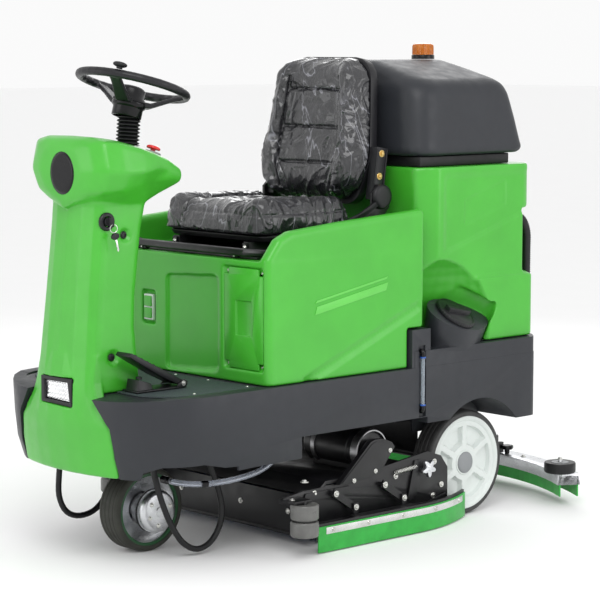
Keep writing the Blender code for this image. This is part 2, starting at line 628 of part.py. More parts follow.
def battery_pack():
    build("battery_pack", BLACK, box_mesh((-0.262, 0.285, 0.406), (0.262, 0.740, 0.770)), cut=[
        box_mesh((-0.263, y, 0.730), (0.263, y + 0.012, 0.771)) for y in (0.430, 0.585)])


def rear_wheel(side):
    sign = 1 if side == "left" else -1
    centre = Vector((sign * (WHEEL_X0 + WHEEL_X1) / 2, WHEEL_Y, WHEEL_R))
    half = (WHEEL_X1 - WHEEL_X0) / 2
    place = Matrix.Translation(centre) @ turn_to((sign, 0, 0))
    tyre = [(WHEEL_R - 0.004, half - 0.003), (WHEEL_R, half - 0.010), (WHEEL_R, -half + 0.010),
            (WHEEL_R - 0.004, -half + 0.003), (0.149, -half + 0.003), (0.149, half - 0.003)]
    build(f"rear_tyre_{side}", TYRE_GREY, moved(lathe_mesh(tyre, 40, closed=True), place), pivot=centre)
    rim = [(0.1485, half - 0.002), (0.1485, -half + 0.002), (0.138, -half + 0.002), (0.130, -0.010),
           (0.045, -0.012), (0.036, -half + 0.004), (0.0130, -half + 0.004), (0.0130, half - 0.004),
           (0.036, half), (0.044, half - 0.004), (0.130, half - 0.016), (0.140, half - 0.002)]
    build(f"rear_rim_{side}", RIM_WHITE, moved(lathe_mesh(rim, 36, closed=True), place), pivot=centre)


# ---------------------------------------------------------------- pedal
PEDAL_PIVOT = Vector((0.185, 0.036, 0.519))


def pedal():
    """A floor pedal: a base with a sensor tower in front, and a plate hinged at the heel."""
    base = box_mesh((0.150, -0.130, 0.5055), (0.220, 0.050, 0.5110))
    tower = plate_mesh([(-0.125, 0.508), (-0.066, 0.508), (-0.074, 0.528), (-0.118, 0.542)], "X", 0.158, 0.212)
    build("pedal_base", BLACK, base, [tower])
    plate = plate_mesh([(0.042, 0.5155), (0.044, 0.524), (0.036, 0.529), (-0.148, 0.622), (-0.156, 0.612),
                        (-0.120, 0.590), (-0.040, 0.545), (0.020, 0.5165)], "X", 0.152, 0.218)
    build("throttle_pedal", BLACK, plate, pivot=PEDAL_PIVOT)


# ---------------------------------------------------------------- seat box, hatch, seat
def seat_box():
    """A box with two raised flanks whose top edges are rolled over."""
    body = plate_mesh(mirrored(rounded([(0, BOX_Y0, 0), (BOX_HALF, BOX_Y0, 0.022), (BOX_HALF, BOX_Y1, 0.02),
                                        (0, BOX_Y1, 0)], 3)), "Z", BOX_Z0, BOX_WELL_Z)
    side = [(BOX_Y0 + 0.0006, 0.700), (BOX_Y1 - 0.0006, 0.700), (BOX_Y1 - 0.0006, 0.989), (0.500, 0.966),
            (0.310, 0.950), (0.262, 0.930), (0.232, 0.893), (BOX_Y0 + 0.0006, 0.872)]
    outer, inner = BOX_HALF - 0.0006, BOX_HALF - FLANK
    flanks = across(lambda: soft(plate_mesh(side, "X", inner, outer), 0.014, 2))
    cuts = [
        box_mesh((-BOX_HALF + 0.016, BOX_Y0 + 0.026, 0.40), (BOX_HALF - 0.016, BOX_Y1 - 0.014, BOX_WELL_Z - 0.014)),
        box_mesh((-0.6, 0.785, 0.40), (0.6, 0.95, 0.628)),
        plate_mesh(rounded([(-0.077, 0.512, 0.02), (0.166, 0.528, 0.02), (0.166, 0.815, 0.02),
                            (-0.075, 0.802, 0.02)], 3), "Y", 0.10, BOX_Y0 + 0.010),
        box_mesh((0.190, 0.10, 0.545), (0.364, BOX_Y0 + 0.012, 0.846)),
        box_mesh((0.205, 0.10, 0.565), (0.349, 0.30, 0.826)),
        box_mesh((-0.190, 0.10, 0.643), (-0.128, BOX_Y0 + 0.016, 0.745)),
        box_mesh((-0.290, 0.270, 0.84), (0.290, 0.765, 0.90)),
        *across(lambda: cylinder_mesh((BOX_HALF + 0.028, 0.60, 0.60), (0, 0.93, 0.37), 0.034, 0.52, 20)),
    ]
    build("seat_box", GREEN, body, flanks, cuts)


def front_hatch():
    notch = 0.020
    x0, x1, z0, z1 = 0.192, 0.362, 0.548, 0.843
    corners = [box_mesh((x - notch, 0.20, z - notch), (x + notch, 0.24, z + notch))
               for x in (x0, x1) for z in (z0, z1)]
    build("front_hatch_cover", GREEN, box_mesh((x0, BOX_Y0 + 0.002, z0), (x1, BOX_Y0 + 0.0108, z1)),
          cut=[box_mesh((0.243, 0.20, 0.645), (0.312, BOX_Y0 + 0.0070, 0.747)), *corners])


def seat_plate():
    hinge = Vector((0, 0.234, 0.886))
    plate = box_mesh((-0.300, 0.250, BOX_WELL_Z + GAP), (0.300, 0.790, BOX_WELL_Z + 0.008))
    rails = across(box_mesh, (0.150, 0.330, BOX_WELL_Z + 0.006), (0.176, 0.780, 0.905))
    route = [(-0.300, 0.300, 0.880), (-0.292, 0.262, 0.884), (-0.262, 0.234, 0.886), (0.262, 0.234, 0.886),
             (0.292, 0.262, 0.884), (0.300, 0.300, 0.880)]
    tube = tube_mesh(route, 0.0115, 2)
    ties = across(box_mesh, (0.200, 0.238, 0.8665), (0.225, 0.262, 0.880))
    build("seat_plate", STEEL_BLACK, plate, [*rails, tube, *ties], pivot=hinge)


def cushion_mesh(lo, hi, edge, crown):
    """A plain pad: a box with rounded vertical corners and a crowned top."""
    (x0, y0, z0), (x1, y1, z1) = lo, hi
    def ring(z, inset):
        corners = [(x0 + inset, y0 + inset), (x1 - inset, y0 + inset), (x1 - inset, y1 - inset),
                   (x0 + inset, y1 - inset)]
        return [(x, y, z) for x, y in rounded([(*c, edge - inset * 0.5) for c in corners], 3)]
    return loft_mesh([ring(z0, 0.006), ring(z0 + 0.012, 0.0), ring(z1 - crown, 0.0), ring(z1, crown)])


def seat():
    pan = cushion_mesh((-0.232, SEAT_PAN_Y0, 0.9065), (0.232, 0.770, SEAT_PAN_Z), 0.05, 0.004)
    ears = across(plate_mesh, [(0.700, 0.912), (0.770, 0.912), (0.838, 0.990), (0.838, 1.040), (0.790, 1.060),
                               (0.762, 1.035), (0.762, 0.985)], "X", 0.243, 0.252)
    feet = across(box_mesh, (0.225, 0.700, 0.9085), (0.250, 0.765, 0.9205))
    build("seat_pan", STEEL_BLACK, pan, [*ears, *feet])
    build("seat_cushion", VINYL, cushion_mesh((-0.228, SEAT_PAN_Y0 - 0.002, SEAT_PAN_Z + GAP),
                                              (0.228, 0.715, 1.030), 0.055, 0.030))


def in_back(mesh):
    """Leans a backrest piece, drawn upright over the recline axis, back by its tilt."""
    return moved(mesh, Matrix.Translation(RECLINE) @ Matrix.Rotation(-BACK_TILT, 4, "X"))


def back_outline(low):
    """The backrest's outline, seen from the front, from its lower edge to its top."""
    half = rounded([(0.0, low, 0), (0.180, low, 0.06), (0.218, 0.120, 0.10), (0.178, 0.425, 0.075),
                    (0.0, 0.425, 0)], 4)
    return mirrored(half)


def backrest():
    shell = in_back(plate_mesh(back_outline(-0.030), "Y", -0.030, -0.002))
    arms = [in_back(m) for m in across(box_mesh, (0.212, -0.026, -0.012), (0.240, 0.020, 0.150))]
    pivots = across(cylinder_mesh, RECLINE + Vector((0.236, 0, 0)), (1, 0, 0), 0.022, 0.010, 20)
    build("backrest_shell", BLACK, shell, [*arms, *pivots], pivot=RECLINE)
    pad = loft_mesh([[(x * wide, y, 0.210 + (z - 0.210) * tall) for x, z in back_outline(-0.008)]
                     for y, wide, tall in ((-0.031 - GAP, 0.985, 0.99), (-0.085, 0.985, 0.99), (-0.115, 0.86, 0.86))])
    build("backrest_cushion", VINYL, in_back(pad), pivot=RECLINE)


def recliner_lever():
    x = 0.254
    boss = cylinder_mesh((x + 0.006, RECLINE.y, RECLINE.z), (1, 0, 0), 0.034, 0.010, 24)
    arm = plate_mesh([(0.800, 1.006), (0.806, 1.026), (0.700, 0.975), (0.612, 0.948), (0.616, 0.936),
                      (0.706, 0.958)], "X", x + 0.002, x + 0.010)
    build("recliner_lever", BLACK, boss, [arm], pivot=(x, RECLINE.y, RECLINE.z))


# ---------------------------------------------------------------- tanks and lid
def scoop():
    """The hollow round a filler: part of an ellipsoid that opens at the tank's side."""
    bm = bmesh.new()
    bmesh.ops.create_uvsphere(bm, u_segments=32, v_segments=18, radius=1.0)
    bmesh.ops.scale(bm, vec=(0.170, 0.240, 0.240), verts=bm.verts)
    bmesh.ops.translate(bm, vec=(0.440, 0.945, 0.612), verts=bm.verts)
    return finish_mesh(bm, "scoop")


def recovery_tank():
    outline = mirrored(rounded([(0, TANK_Y0, 0), (0.320, TANK_Y0, 0.02), (TANK_HALF, 0.940, 0.02),
                                (TANK_HALF, TANK_Y1 - 0.04, 0.03), (0.310, TANK_Y1, 0.03), (0, TANK_Y1, 0)], 3))
    block = plate_mesh(mirrored(rounded([(0, 1.060, 0), (TANK_HALF + 0.010, 1.060, 0.004), (TANK_HALF + 0.010, 1.362, 0.02),
                                         (0.325, REAR_END_Y - 0.003, 0.02), (0, REAR_END_Y - 0.003, 0)], 3)),
                       "Z", TANK_Z0 + 0.0005, 0.757)
    cuts = [
        box_mesh((-0.300, 0.925, 0.872), (0.300, 1.280, 1.30)),
        box_mesh((-0.255, 0.926, 0.700), (0.255, 1.279, 0.880)),
        *across(scoop),
        *across(filler_tower, 0.004, 0.060),
        *across(box_mesh, (0.180, 1.330, 0.764), (0.45, 1.45, 0.967)),
    ]
    build("recovery_tank", GREEN, plate_mesh(outline, "Z", TANK_Z0, TANK_TOP), [block], cuts)


def tank_gasket():
    build("tank_gasket", RUBBER, box_mesh((-0.322, 0.900, TANK_TOP + GAP), (0.322, 1.304, 1.143)),
          cut=[box_mesh((-0.306, 0.918, 1.10), (0.306, 1.288, 1.20))])


LID_HINGE = Vector((0, 1.362, 1.134))


def lid_ring(z, half, y0, y1, front, rear=0.045):
    """A rectangle with rounded corners in plan, rounder in front."""
    return [(x, y, z) for x, y in mirrored(rounded([(0, y0, 0), (half, y0, front), (half, y1, rear), (0, y1, 0)], 4))]


def tank_lid():
    rings = [lid_ring(1.1445, 0.334, 0.886, 1.352, 0.070), lid_ring(1.152, 0.343, 0.876, 1.362, 0.075),
             lid_ring(1.162, 0.345, 0.872, 1.366, 0.075), lid_ring(1.260, 0.338, 0.877, 1.338, 0.075),
             lid_ring(1.335, 0.330, 0.883, 1.315, 0.075), lid_ring(1.362, 0.318, 0.890, 1.303, 0.075),
             lid_ring(1.379, 0.292, 0.900, 1.290, 0.070), lid_ring(1.402, 0.215, 0.908, 1.280, 0.060),
             lid_ring(1.425, 0.130, 0.916, 1.272, 0.050), lid_ring(1.438, 0.078, 0.930, 1.262, 0.035, 0.035)]
    pad = cylinder_mesh((0, 1.240, 1.420), (0, 0, 1), 0.044, 0.036, 28)
    ears = across(box_mesh, (0.180, 1.335, 1.1445), (0.200, 1.362, 1.180))
    build("tank_lid", DARK, loft_mesh(rings), [pad, *ears],
          cut=[box_mesh((-0.285, 0.945, 1.10), (0.285, 1.285, 1.325))], pivot=LID_HINGE)
    top = 1.438
    profile = [(0, 0.052), (0.030, 0.050), (0.0345, 0.042), (0.0350, 0.014), (0.0375, 0.013), (0.0375, 0.0),
               (0, 0.0)]
    build("beacon", AMBER, moved(lathe_mesh(profile, 28), Matrix.Translation((0, 1.240, top + GAP))))


def filler_cap(side):
    """A screw cap with a grip bar, drawn upright at the origin and turned to the tilted seat."""
    disc = lathe_mesh([(0, 0.013), (FILLER_R - 0.010, 0.013), (FILLER_R - 0.002, 0.008), (FILLER_R, 0.0),
                       (0.050, 0.0), (0.050, -0.030), (0, -0.030)], 32)
    grip = box_mesh((-0.012, -0.050, 0.008), (0.012, 0.050, 0.027))
    sign = 1 if side == "left" else -1
    place = Matrix.Translation(FILLER + FILLER_UP * GAP) @ turn_to(FILLER_UP)
    flip = Matrix.Scale(sign, 4, (1, 0, 0)) if sign < 0 else Matrix.Identity(4)
    seat_point = FILLER + FILLER_UP * GAP
    build(f"filler_cap_{side}", BLACK, moved(moved(disc, place), flip), [moved(moved(grip, place), flip)],
          pivot=(sign * seat_point.x, seat_point.y, seat_point.z))


def drain_hose():
    route = [(0.284, 1.348, 0.918), (0.288, 1.376, 0.932), (0.292, 1.404, 0.920), (0.294, 1.4215, 0.880),
             (0.294, 1.4225, 0.820), (0.293, 1.4225, 0.640), (0.292, 1.4225, 0.500), (0.291, 1.4225, 0.400)]
    build("drain_hose", RUBBER, tube_mesh(route, 0.0165, 2, True))


# ---------------------------------------------------------------- brush deck
def brush_deck():
    side = [(0.362, 0.150), (0.372, 0.178), (0.560, 0.180), (0.640, 0.200), (0.900, 0.232), (0.960, 0.212),
            (0.990, 0.172), (0.990, 0.070), (0.880, 0.050), (0.440, 0.050), (0.410, 0.100), (0.362, 0.140)]
    ends = [plate_mesh(side, "X", s * DECK_HALF, s * (DECK_HALF - 0.008)) for s in (1, -1)]
    hood = plate_mesh([(0.425, 0.150), (0.470, 0.185), (0.860, 0.185), (0.900, 0.150), (0.907, 0.156),
                       (0.866, 0.195), (0.466, 0.195), (0.418, 0.156)], "X", -DECK_HALF + 0.002, DECK_HALF - 0.002)
    arms = across(box_mesh, (DECK_HALF - 0.006, 0.285, 0.152), (0.400, 0.330, 0.166))
    brackets = across(plate_mesh, [(0.285, 0.152), (0.380, 0.152), (0.380, 0.178), (0.285, 0.166)], "X",
                      DECK_HALF - 0.008, DECK_HALF)
    tongues = across(box_mesh, (0.395, 0.262, 0.166), (0.452, 0.325, 0.174))
    risers = across(box_mesh, (0.393, 0.285, 0.150), (0.402, 0.325, 0.172))
    pins = [cylinder_mesh((s * 0.449, 0.300, 0.120), (0, 0, 1), 0.0055, 0.108, 12) for s in (1, -1)]
    bosses = [cylinder_mesh((s * (DECK_HALF + 0.010), y, LINK_TOP_Z), (1, 0, 0), 0.0070, 0.030, 12)
              for y in LINK_Y for s in (1, -1)]
    backs = [plate_mesh([(0.462, 0.146), (0.500, 0.146), (0.500, 0.182), (0.462, 0.182)], "X", s * 0.356, s * 0.3615)
             for s in (1, -1)]
    build("brush_deck", STEEL_BLACK, hood, [*ends, *arms, *brackets, *tongues, *risers, *pins, *bosses, *backs])


def deck_drive():
    guard = plate_mesh([(0.572, 0.184), (0.672, 0.184), (0.745, 0.262), (0.728, 0.285), (0.690, 0.287)], "X",
                       DECK_HALF + GAP, DECK_HALF + 0.022)
    build("belt_guard", STEEL_BLACK, guard)
    motor = cylinder_mesh((0.215, 0.680, 0.258), (1, 0, 0), 0.060, 0.250, 28)
    build("brush_motor", GREY, motor, [box_mesh((0.120, 0.640, 0.1962), (0.320, 0.720, 0.225))])


def brush(name, y):
    roll = cylinder_mesh((0, y, BRUSH_Z), (1, 0, 0), BRUSH_R, BRUSH_L, 20)
    core = cylinder_mesh((0, y, BRUSH_Z), (1, 0, 0), 0.030, BRUSH_L + 0.050, 16)
    build(name, BRISTLE, roll, [core], pivot=(0, y, BRUSH_Z))


def tension_knob():
    x, y, z = DECK_HALF + GAP, 0.885, 0.183
    hub = cylinder_mesh((x + 0.014, y, z), (1, 0, 0), 0.010, 0.026, 12)
    arms = [moved(box_mesh((x + 0.010, -0.005, 0.004), (x + 0.026, 0.005, 0.030)),
                  Matrix.Translation((0, y, z)) @ Matrix.Rotation(math.tau * i / 5, 4, "X")) for i in range(5)]
    build("tension_knob", GREY, hub, arms, pivot=(x, y, z))


def bumper_roller(side):
    sign = 1 if side == "left" else -1
    profile = [(0.040, 0.048), (0.042, 0.042), (0.042, 0.008), (0.040, 0.003), (0.022, 0.003), (0.022, -0.003),
               (0.040, -0.003), (0.042, -0.008), (0.042, -0.042), (0.040, -0.048), (0.0064, -0.048),
               (0.0064, 0.048)]
    centre = Vector((sign * 0.449, 0.300, 0.116))
    build(f"bumper_roller_{side}", GREY, moved(lathe_mesh(profile, 20, closed=True), Matrix.Translation(centre)),
          pivot=centre)


def side_links(side):
    sign = 1 if side == "left" else -1
    for name, y in zip(("front", "rear"), LINK_Y):
        top = Vector((sign * 0.3815, y, LINK_TOP_Z))
        low = top + Vector((0, LINK_RUN, -LINK_DROP))
        along = (low - top).normalized()
        across_link = Vector((0, along.z, -along.y)) * 0.011
        outline = [top - along * 0.011 + across_link, low + along * 0.011 + across_link,
                   low + along * 0.011 - across_link, top - along * 0.011 - across_link]
        bar = plate_mesh([(p.y, p.z) for p in outline], "X", top.x - 0.003, top.x + 0.003)
        hole = cylinder_mesh(top, (1, 0, 0), 0.0078, 0.05, 12)
        build(f"side_link_{name}_{side}", STEEL_BLACK, bar, cut=[hole], pivot=(sign * 0.3815, y, LINK_TOP_Z))


def side_path(inset=0.0, count=11):
    """Plan points of the side blade: straight beside the deck, curving in behind it."""
    points = []
    for i in range(count):
        y = 0.372 + (1.075 - 0.372) * i / (count - 1)
        bend = max(0.0, y - 0.800) / 0.275
        points.append((SIDE_X - inset - 0.074 * bend**2, y))
    return points


def strip_mesh(path, thick, z0, z1):
    inner = [(x - thick, y) for x, y in reversed(path)]
    return plate_mesh([*path, *inner], "Z", z0, z1)


def side_squeegee(side):
    sign = 1 if side == "left" else -1
    blade = strip_mesh(side_path(), 0.005, 0.0035, 0.080)
    backing = strip_mesh(side_path(0.0045), 0.010, 0.040, 0.088)
    rib = box_mesh((0.388, 0.540, 0.082), (0.428, 0.800, 0.0872))
    lugs = [box_mesh((0.386, y + LINK_RUN - 0.010, 0.083), (0.3915, y + LINK_RUN + 0.010, 0.120)) for y in LINK_Y]
    made = [backing, rib, *lugs]
    flip = Matrix.Scale(sign, 4, (1, 0, 0)) if sign < 0 else Matrix.Identity(4)
    pivot = (sign * 0.3815, LINK_Y[0] + LINK_RUN, LINK_TOP_Z - LINK_DROP)
    build(f"side_squeegee_{side}", BLADE, moved(blade, flip), [moved(m, flip) for m in made], pivot=pivot)


# ---------------------------------------------------------------- rear squeegee
def squeegee_arc(radius, half, count):
    centre_y = SQUEEGEE_MID_Y - SQUEEGEE_R
    reach = math.asin(half / SQUEEGEE_R)
    return [(radius * math.sin(a), centre_y + radius * math.cos(a))
            for a in (reach - 2 * reach * i / (count - 1) for i in range(count))]


def arc_strip(inner, outer, half, z0, z1, count=17):
    return plate_mesh([*squeegee_arc(outer, half, count), *reversed(squeegee_arc(inner, half, count))], "Z", z0, z1)


SQUEEGEE_PIVOT = Vector((0, 1.300, 0.250))


def rear_squeegee():
    r = SQUEEGEE_R
    section = [(r - 0.055, 0.104), (r - 0.055, 0.068), (r - 0.050, 0.068), (r - 0.050, 0.098),
               (r + 0.016, 0.098), (r + 0.016, 0.068), (r + 0.020, 0.068), (r + 0.020, 0.104)]
    arcs = [squeegee_arc(radius, SQUEEGEE_HALF, 17) for radius, _ in section]
    channel = loft_mesh([[(*arc[i], z) for arc, (_, z) in zip(arcs, section)] for i in range(17)])
    spout = cylinder_mesh((0, SQUEEGEE_MID_Y - 0.020, 0.128), (0, 0, 1), 0.026, 0.060, 20)
    ends = across(box_mesh, (0.420, 1.415, 0.0985), (0.468, 1.472, 0.1065))
    pins = [cylinder_mesh((s * 0.447, 1.428, 0.126), (0, 0, 1), 0.0055, 0.052, 12) for s in (1, -1)]
    build("squeegee_channel", ALUMINIUM, channel, [spout, *ends, *pins],
          cut=[cylinder_mesh((0, SQUEEGEE_MID_Y - 0.020, 0.128), (0, 0, 1), 0.021, 0.20, 20)])
    front = arc_strip(r - 0.0485, r - 0.0445, SQUEEGEE_HALF, SQUEEGEE_Z0, 0.0965)
    build("squeegee_blade_front", BLADE, front)
    build("squeegee_blade_rear", BLADE, arc_strip(r + 0.0105, r + 0.0145, SQUEEGEE_HALF, SQUEEGEE_Z0, 0.0965))
    fork = box_mesh((-0.130, 1.290, 0.232), (0.130, 1.320, 0.262))
    legs = across(plate_mesh, [(1.295, 0.235), (1.318, 0.255), (1.500, 0.150), (1.572, 0.142), (1.572, 0.106),
                               (1.490, 0.106)], "X", 0.060, 0.072)
    foot = box_mesh((-0.072, 1.530, 0.106), (-0.040, 1.572, 0.114))
    foot_left = box_mesh((0.040, 1.530, 0.106), (0.072, 1.572, 0.114))
    build("squeegee_arm", STEEL_BLACK, fork, [*legs, foot, foot_left], pivot=SQUEEGEE_PIVOT)


def squeegee_roller(side):
    sign = 1 if side == "left" else -1
    centre = Vector((sign * 0.447, 1.428, 0.127))
    profile = [(0.046, 0.018), (0.051, 0.013), (0.051, -0.014), (0.048, -0.018), (0.0064, -0.018), (0.0064, 0.018)]
    build(f"squeegee_roller_{side}", RUBBER, moved(lathe_mesh(profile, 24, closed=True), Matrix.Translation(centre)),
          pivot=centre)


# ---------------------------------------------------------------- free cables under the front
NEAR_CABLE = [(0.186, -0.062, 0.360), (0.188, -0.056, 0.300), (0.193, -0.045, 0.240), (0.197, -0.028, 0.180),
              (0.200, 0.002, 0.110), (0.201, 0.046, 0.048), (0.202, 0.100, 0.020), (0.202, 0.152, 0.034),
              (0.201, 0.188, 0.078), (0.200, 0.198, 0.130), (0.196, 0.184, 0.195), (0.190, 0.164, 0.255),
              (0.186, 0.152, 0.305), (0.184, 0.150, 0.360)]
FAR_CABLE = [(-0.178, -0.100, 0.360), (-0.179, -0.104, 0.300), (-0.181, -0.112, 0.220), (-0.183, -0.112, 0.150),
             (-0.185, -0.084, 0.098), (-0.186, -0.032, 0.078), (-0.186, 0.030, 0.092), (-0.185, 0.080, 0.150),
             (-0.183, 0.102, 0.230), (-0.181, 0.106, 0.300), (-0.180, 0.106, 0.360)]
CABLE_R = 0.009


def cables():
    build("motor_cable_left", RUBBER, tube_mesh(NEAR_CABLE, CABLE_R, 2, True))
    build("motor_cable_right", RUBBER, tube_mesh(FAR_CABLE, CABLE_R, 2, True))


base_shell()
platform_mat()
level_gauge()
front_column()
headlight()
ignition_key()
emergency_stop()
steering_bellows()
steering_wheel()
drive_unit()
chassis_frame()
battery_pack()
pedal()
seat_box()
front_hatch()
seat_plate()
seat()
backrest()
recliner_lever()
recovery_tank()
tank_gasket()
tank_lid()
drain_hose()
brush_deck()
deck_drive()
brush("brush_front", BRUSH_Y[0])
brush("brush_rear", BRUSH_Y[1])
tension_knob()
rear_squeegee()
cables()
for SIDE in ("left", "right"):
    rear_wheel(SIDE)
    filler_cap(SIDE)
    bumper_roller(SIDE)
    side_links(SIDE)
    side_squeegee(SIDE)
    squeegee_roller(SIDE)
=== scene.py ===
"""Looks for the ride-on scrubber: moulded plastic, a film-wrapped seat, tyres, hardware and a plain studio."""

import json
from math import atan2, copysign, cos, exp, hypot, pi, radians, sin, tau

import bmesh
import bpy
from mathutils import Matrix, Vector, noise
from mathutils.bvhtree import BVHTree


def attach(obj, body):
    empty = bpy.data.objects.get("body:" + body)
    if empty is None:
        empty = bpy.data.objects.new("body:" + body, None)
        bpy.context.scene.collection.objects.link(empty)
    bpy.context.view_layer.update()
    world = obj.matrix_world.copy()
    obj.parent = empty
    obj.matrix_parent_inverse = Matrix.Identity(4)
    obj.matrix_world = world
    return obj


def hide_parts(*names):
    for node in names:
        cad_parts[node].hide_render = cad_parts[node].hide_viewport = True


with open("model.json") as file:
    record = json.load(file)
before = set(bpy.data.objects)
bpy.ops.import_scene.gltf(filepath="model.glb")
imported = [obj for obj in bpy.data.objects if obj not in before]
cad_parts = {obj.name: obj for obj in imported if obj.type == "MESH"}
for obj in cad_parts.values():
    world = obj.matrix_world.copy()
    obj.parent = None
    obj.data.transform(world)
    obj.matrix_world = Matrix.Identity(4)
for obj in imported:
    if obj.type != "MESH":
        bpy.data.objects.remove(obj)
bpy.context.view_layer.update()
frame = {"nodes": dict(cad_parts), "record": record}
NODES = frame["nodes"]
SHIFT = 0.682  # the machine's own y is measured from the steering axis; the row's from the middle of its length
scene = bpy.context.scene


def at(x, y, z):
    """A point given in the machine's own y, in the row frame."""
    return Vector((x, y - SHIFT, z))


# ---------------------------------------------------------------- materials
class Graph:
    """A node material being wired up: a Principled shader and short calls for the textures that feed it."""

    def __init__(self, name, colour, roughness, metallic=0.0, **sockets):
        self.material = bpy.data.materials.new(name)
        self.material.use_nodes = True
        self.material.diffuse_color = (*colour, 1.0)
        self.tree = self.material.node_tree
        self.shader = self.tree.nodes["Principled BSDF"]
        self.set("Base Color", (*colour, 1.0))
        self.set("Roughness", roughness)
        self.set("Metallic", metallic)
        for key, value in sockets.items():
            self.set(key.replace("_", " "), value)
        self.place = self.node("ShaderNodeTexCoord").outputs["Object"]
        self.bumps = []

    def set(self, socket, value):
        self.shader.inputs[socket].default_value = value

    def node(self, kind, **settings):
        made = self.tree.nodes.new(kind)
        for key, value in settings.items():
            setattr(made, key, value)
        return made

    def link(self, out, into):
        self.tree.links.new(out, into)

    def texture(self, kind, out, inputs, stretch=None, **settings):
        made = self.node(kind, **settings)
        for key, value in inputs.items():
            made.inputs[key].default_value = value
        place = self.place
        if stretch:
            mapping = self.node("ShaderNodeMapping")
            mapping.inputs["Scale"].default_value = stretch
            self.link(place, mapping.inputs["Vector"])
            place = mapping.outputs["Vector"]
        self.link(place, made.inputs["Vector"])
        return made.outputs[out]

    def noise(self, scale, detail=3.0, rough=0.5, stretch=(1, 1, 1), distortion=0.0):
        inputs = {"Scale": scale, "Detail": detail, "Roughness": rough, "Distortion": distortion}
        return self.texture("ShaderNodeTexNoise", "Fac", inputs, stretch)

    def cells(self, scale):
        return self.texture("ShaderNodeTexVoronoi", "Distance", {"Scale": scale})

    def wave(self, scale, axis):
        return self.texture("ShaderNodeTexWave", "Fac", {"Scale": scale}, wave_type="BANDS", bands_direction=axis)

    def ramp(self, fac, stops):
        made = self.node("ShaderNodeValToRGB")
        while len(made.color_ramp.elements) < len(stops):
            made.color_ramp.elements.new(0.5)
        for element, (place, value) in zip(made.color_ramp.elements, stops):
            element.position = place
            element.color = (*value, 1.0)
        self.link(fac, made.inputs["Fac"])
        return made.outputs["Color"]

    def spread(self, fac, low, high, from_low=0.3, from_high=0.7):
        made = self.node("ShaderNodeMapRange")
        made.inputs["From Min"].default_value = from_low
        made.inputs["From Max"].default_value = from_high
        made.inputs["To Min"].default_value = low
        made.inputs["To Max"].default_value = high
        self.link(fac, made.inputs["Value"])
        return made.outputs["Result"]

    def mix(self, fac, a, b, blend="MIX"):
        made = self.node("ShaderNodeMix", data_type="RGBA", blend_type=blend)
        for index, value in ((6, a), (7, b)):
            if isinstance(value, tuple):
                made.inputs[index].default_value = (*value, 1.0)
            else:
                self.link(value, made.inputs[index])
        self.link(fac, made.inputs[0])
        return made.outputs[2]

    def paint(self, colour, roughness=None):
        """Links a colour, and a roughness where one is given."""
        self.link(colour, self.shader.inputs["Base Color"])
        if roughness is not None:
            self.link(roughness, self.shader.inputs["Roughness"])

    def bump(self, height, strength, distance=0.001):
        made = self.node("ShaderNodeBump")
        made.inputs["Strength"].default_value = strength
        made.inputs["Distance"].default_value = distance
        self.link(height, made.inputs["Height"])
        if self.bumps:
            self.link(self.bumps[-1], made.inputs["Normal"])
        self.bumps.append(made.outputs["Normal"])
        self.link(made.outputs["Normal"], self.shader.inputs["Normal"])
        return self


def shades(colour, spread):
    """A darker and a lighter neighbour of a colour."""
    return tuple(c * (1 - spread) for c in colour), tuple(min(1.0, c * (1 + spread)) for c in colour)


def moulded(name, colour, roughness, grain=900, peel=35, grain_strength=0.12, coat=0.0, specular=0.5):
    """Rotomoulded or injection-moulded plastic: faint mottling, a slow ripple and a fine grain."""
    g = Graph(name, colour, roughness, Coat_Weight=coat, Coat_Roughness=0.12, Specular_IOR_Level=specular)
    low, high = shades(colour, 0.07)
    cloud = g.noise(6, 4, 0.6)
    g.paint(g.mix(g.spread(cloud, 0, 1), low, high), g.spread(g.noise(30, 3), roughness - 0.05, roughness + 0.07))
    g.bump(g.noise(peel, 2), 0.1, 0.0012)
    return g.bump(g.noise(grain, 2, 0.6), grain_strength, 0.0003).material


def metal(name, colour, roughness, scratch=(1, 1, 14), strength=0.12):
    g = Graph(name, colour, roughness, 1.0)
    low, high = shades(colour, 0.1)
    g.paint(g.mix(g.spread(g.noise(14, 4), 0, 1), low, high), g.spread(g.noise(60, 5, 0.65, scratch),
        roughness - 0.08, roughness + 0.12))
    return g.bump(g.noise(240, 4, 0.7, scratch), strength, 0.0003).material


def painted(name, colour, roughness):
    """Powder coat: orange peel and slight rubbing."""
    g = Graph(name, colour, roughness, 0.0, Specular_IOR_Level=0.5)
    low, high = shades(colour, 0.2)
    g.paint(g.mix(g.spread(g.noise(9, 4), 0, 1), low, high), g.spread(g.noise(25, 3), roughness - 0.06,
        roughness + 0.1))
    return g.bump(g.noise(420, 2), 0.22, 0.0004).material


def rubbery(name, colour, roughness, grain=600, strength=0.25, dust=0.5):
    g = Graph(name, colour, roughness, 0.0, Specular_IOR_Level=0.35)
    low, high = shades(colour, 0.15 + 0.2 * dust)
    g.paint(g.mix(g.spread(g.noise(22, 5, 0.6), 0, 1), low, high), g.spread(g.noise(50, 3), roughness - 0.06,
        roughness + 0.08))
    return g.bump(g.noise(grain, 3, 0.6), strength, 0.0005).material


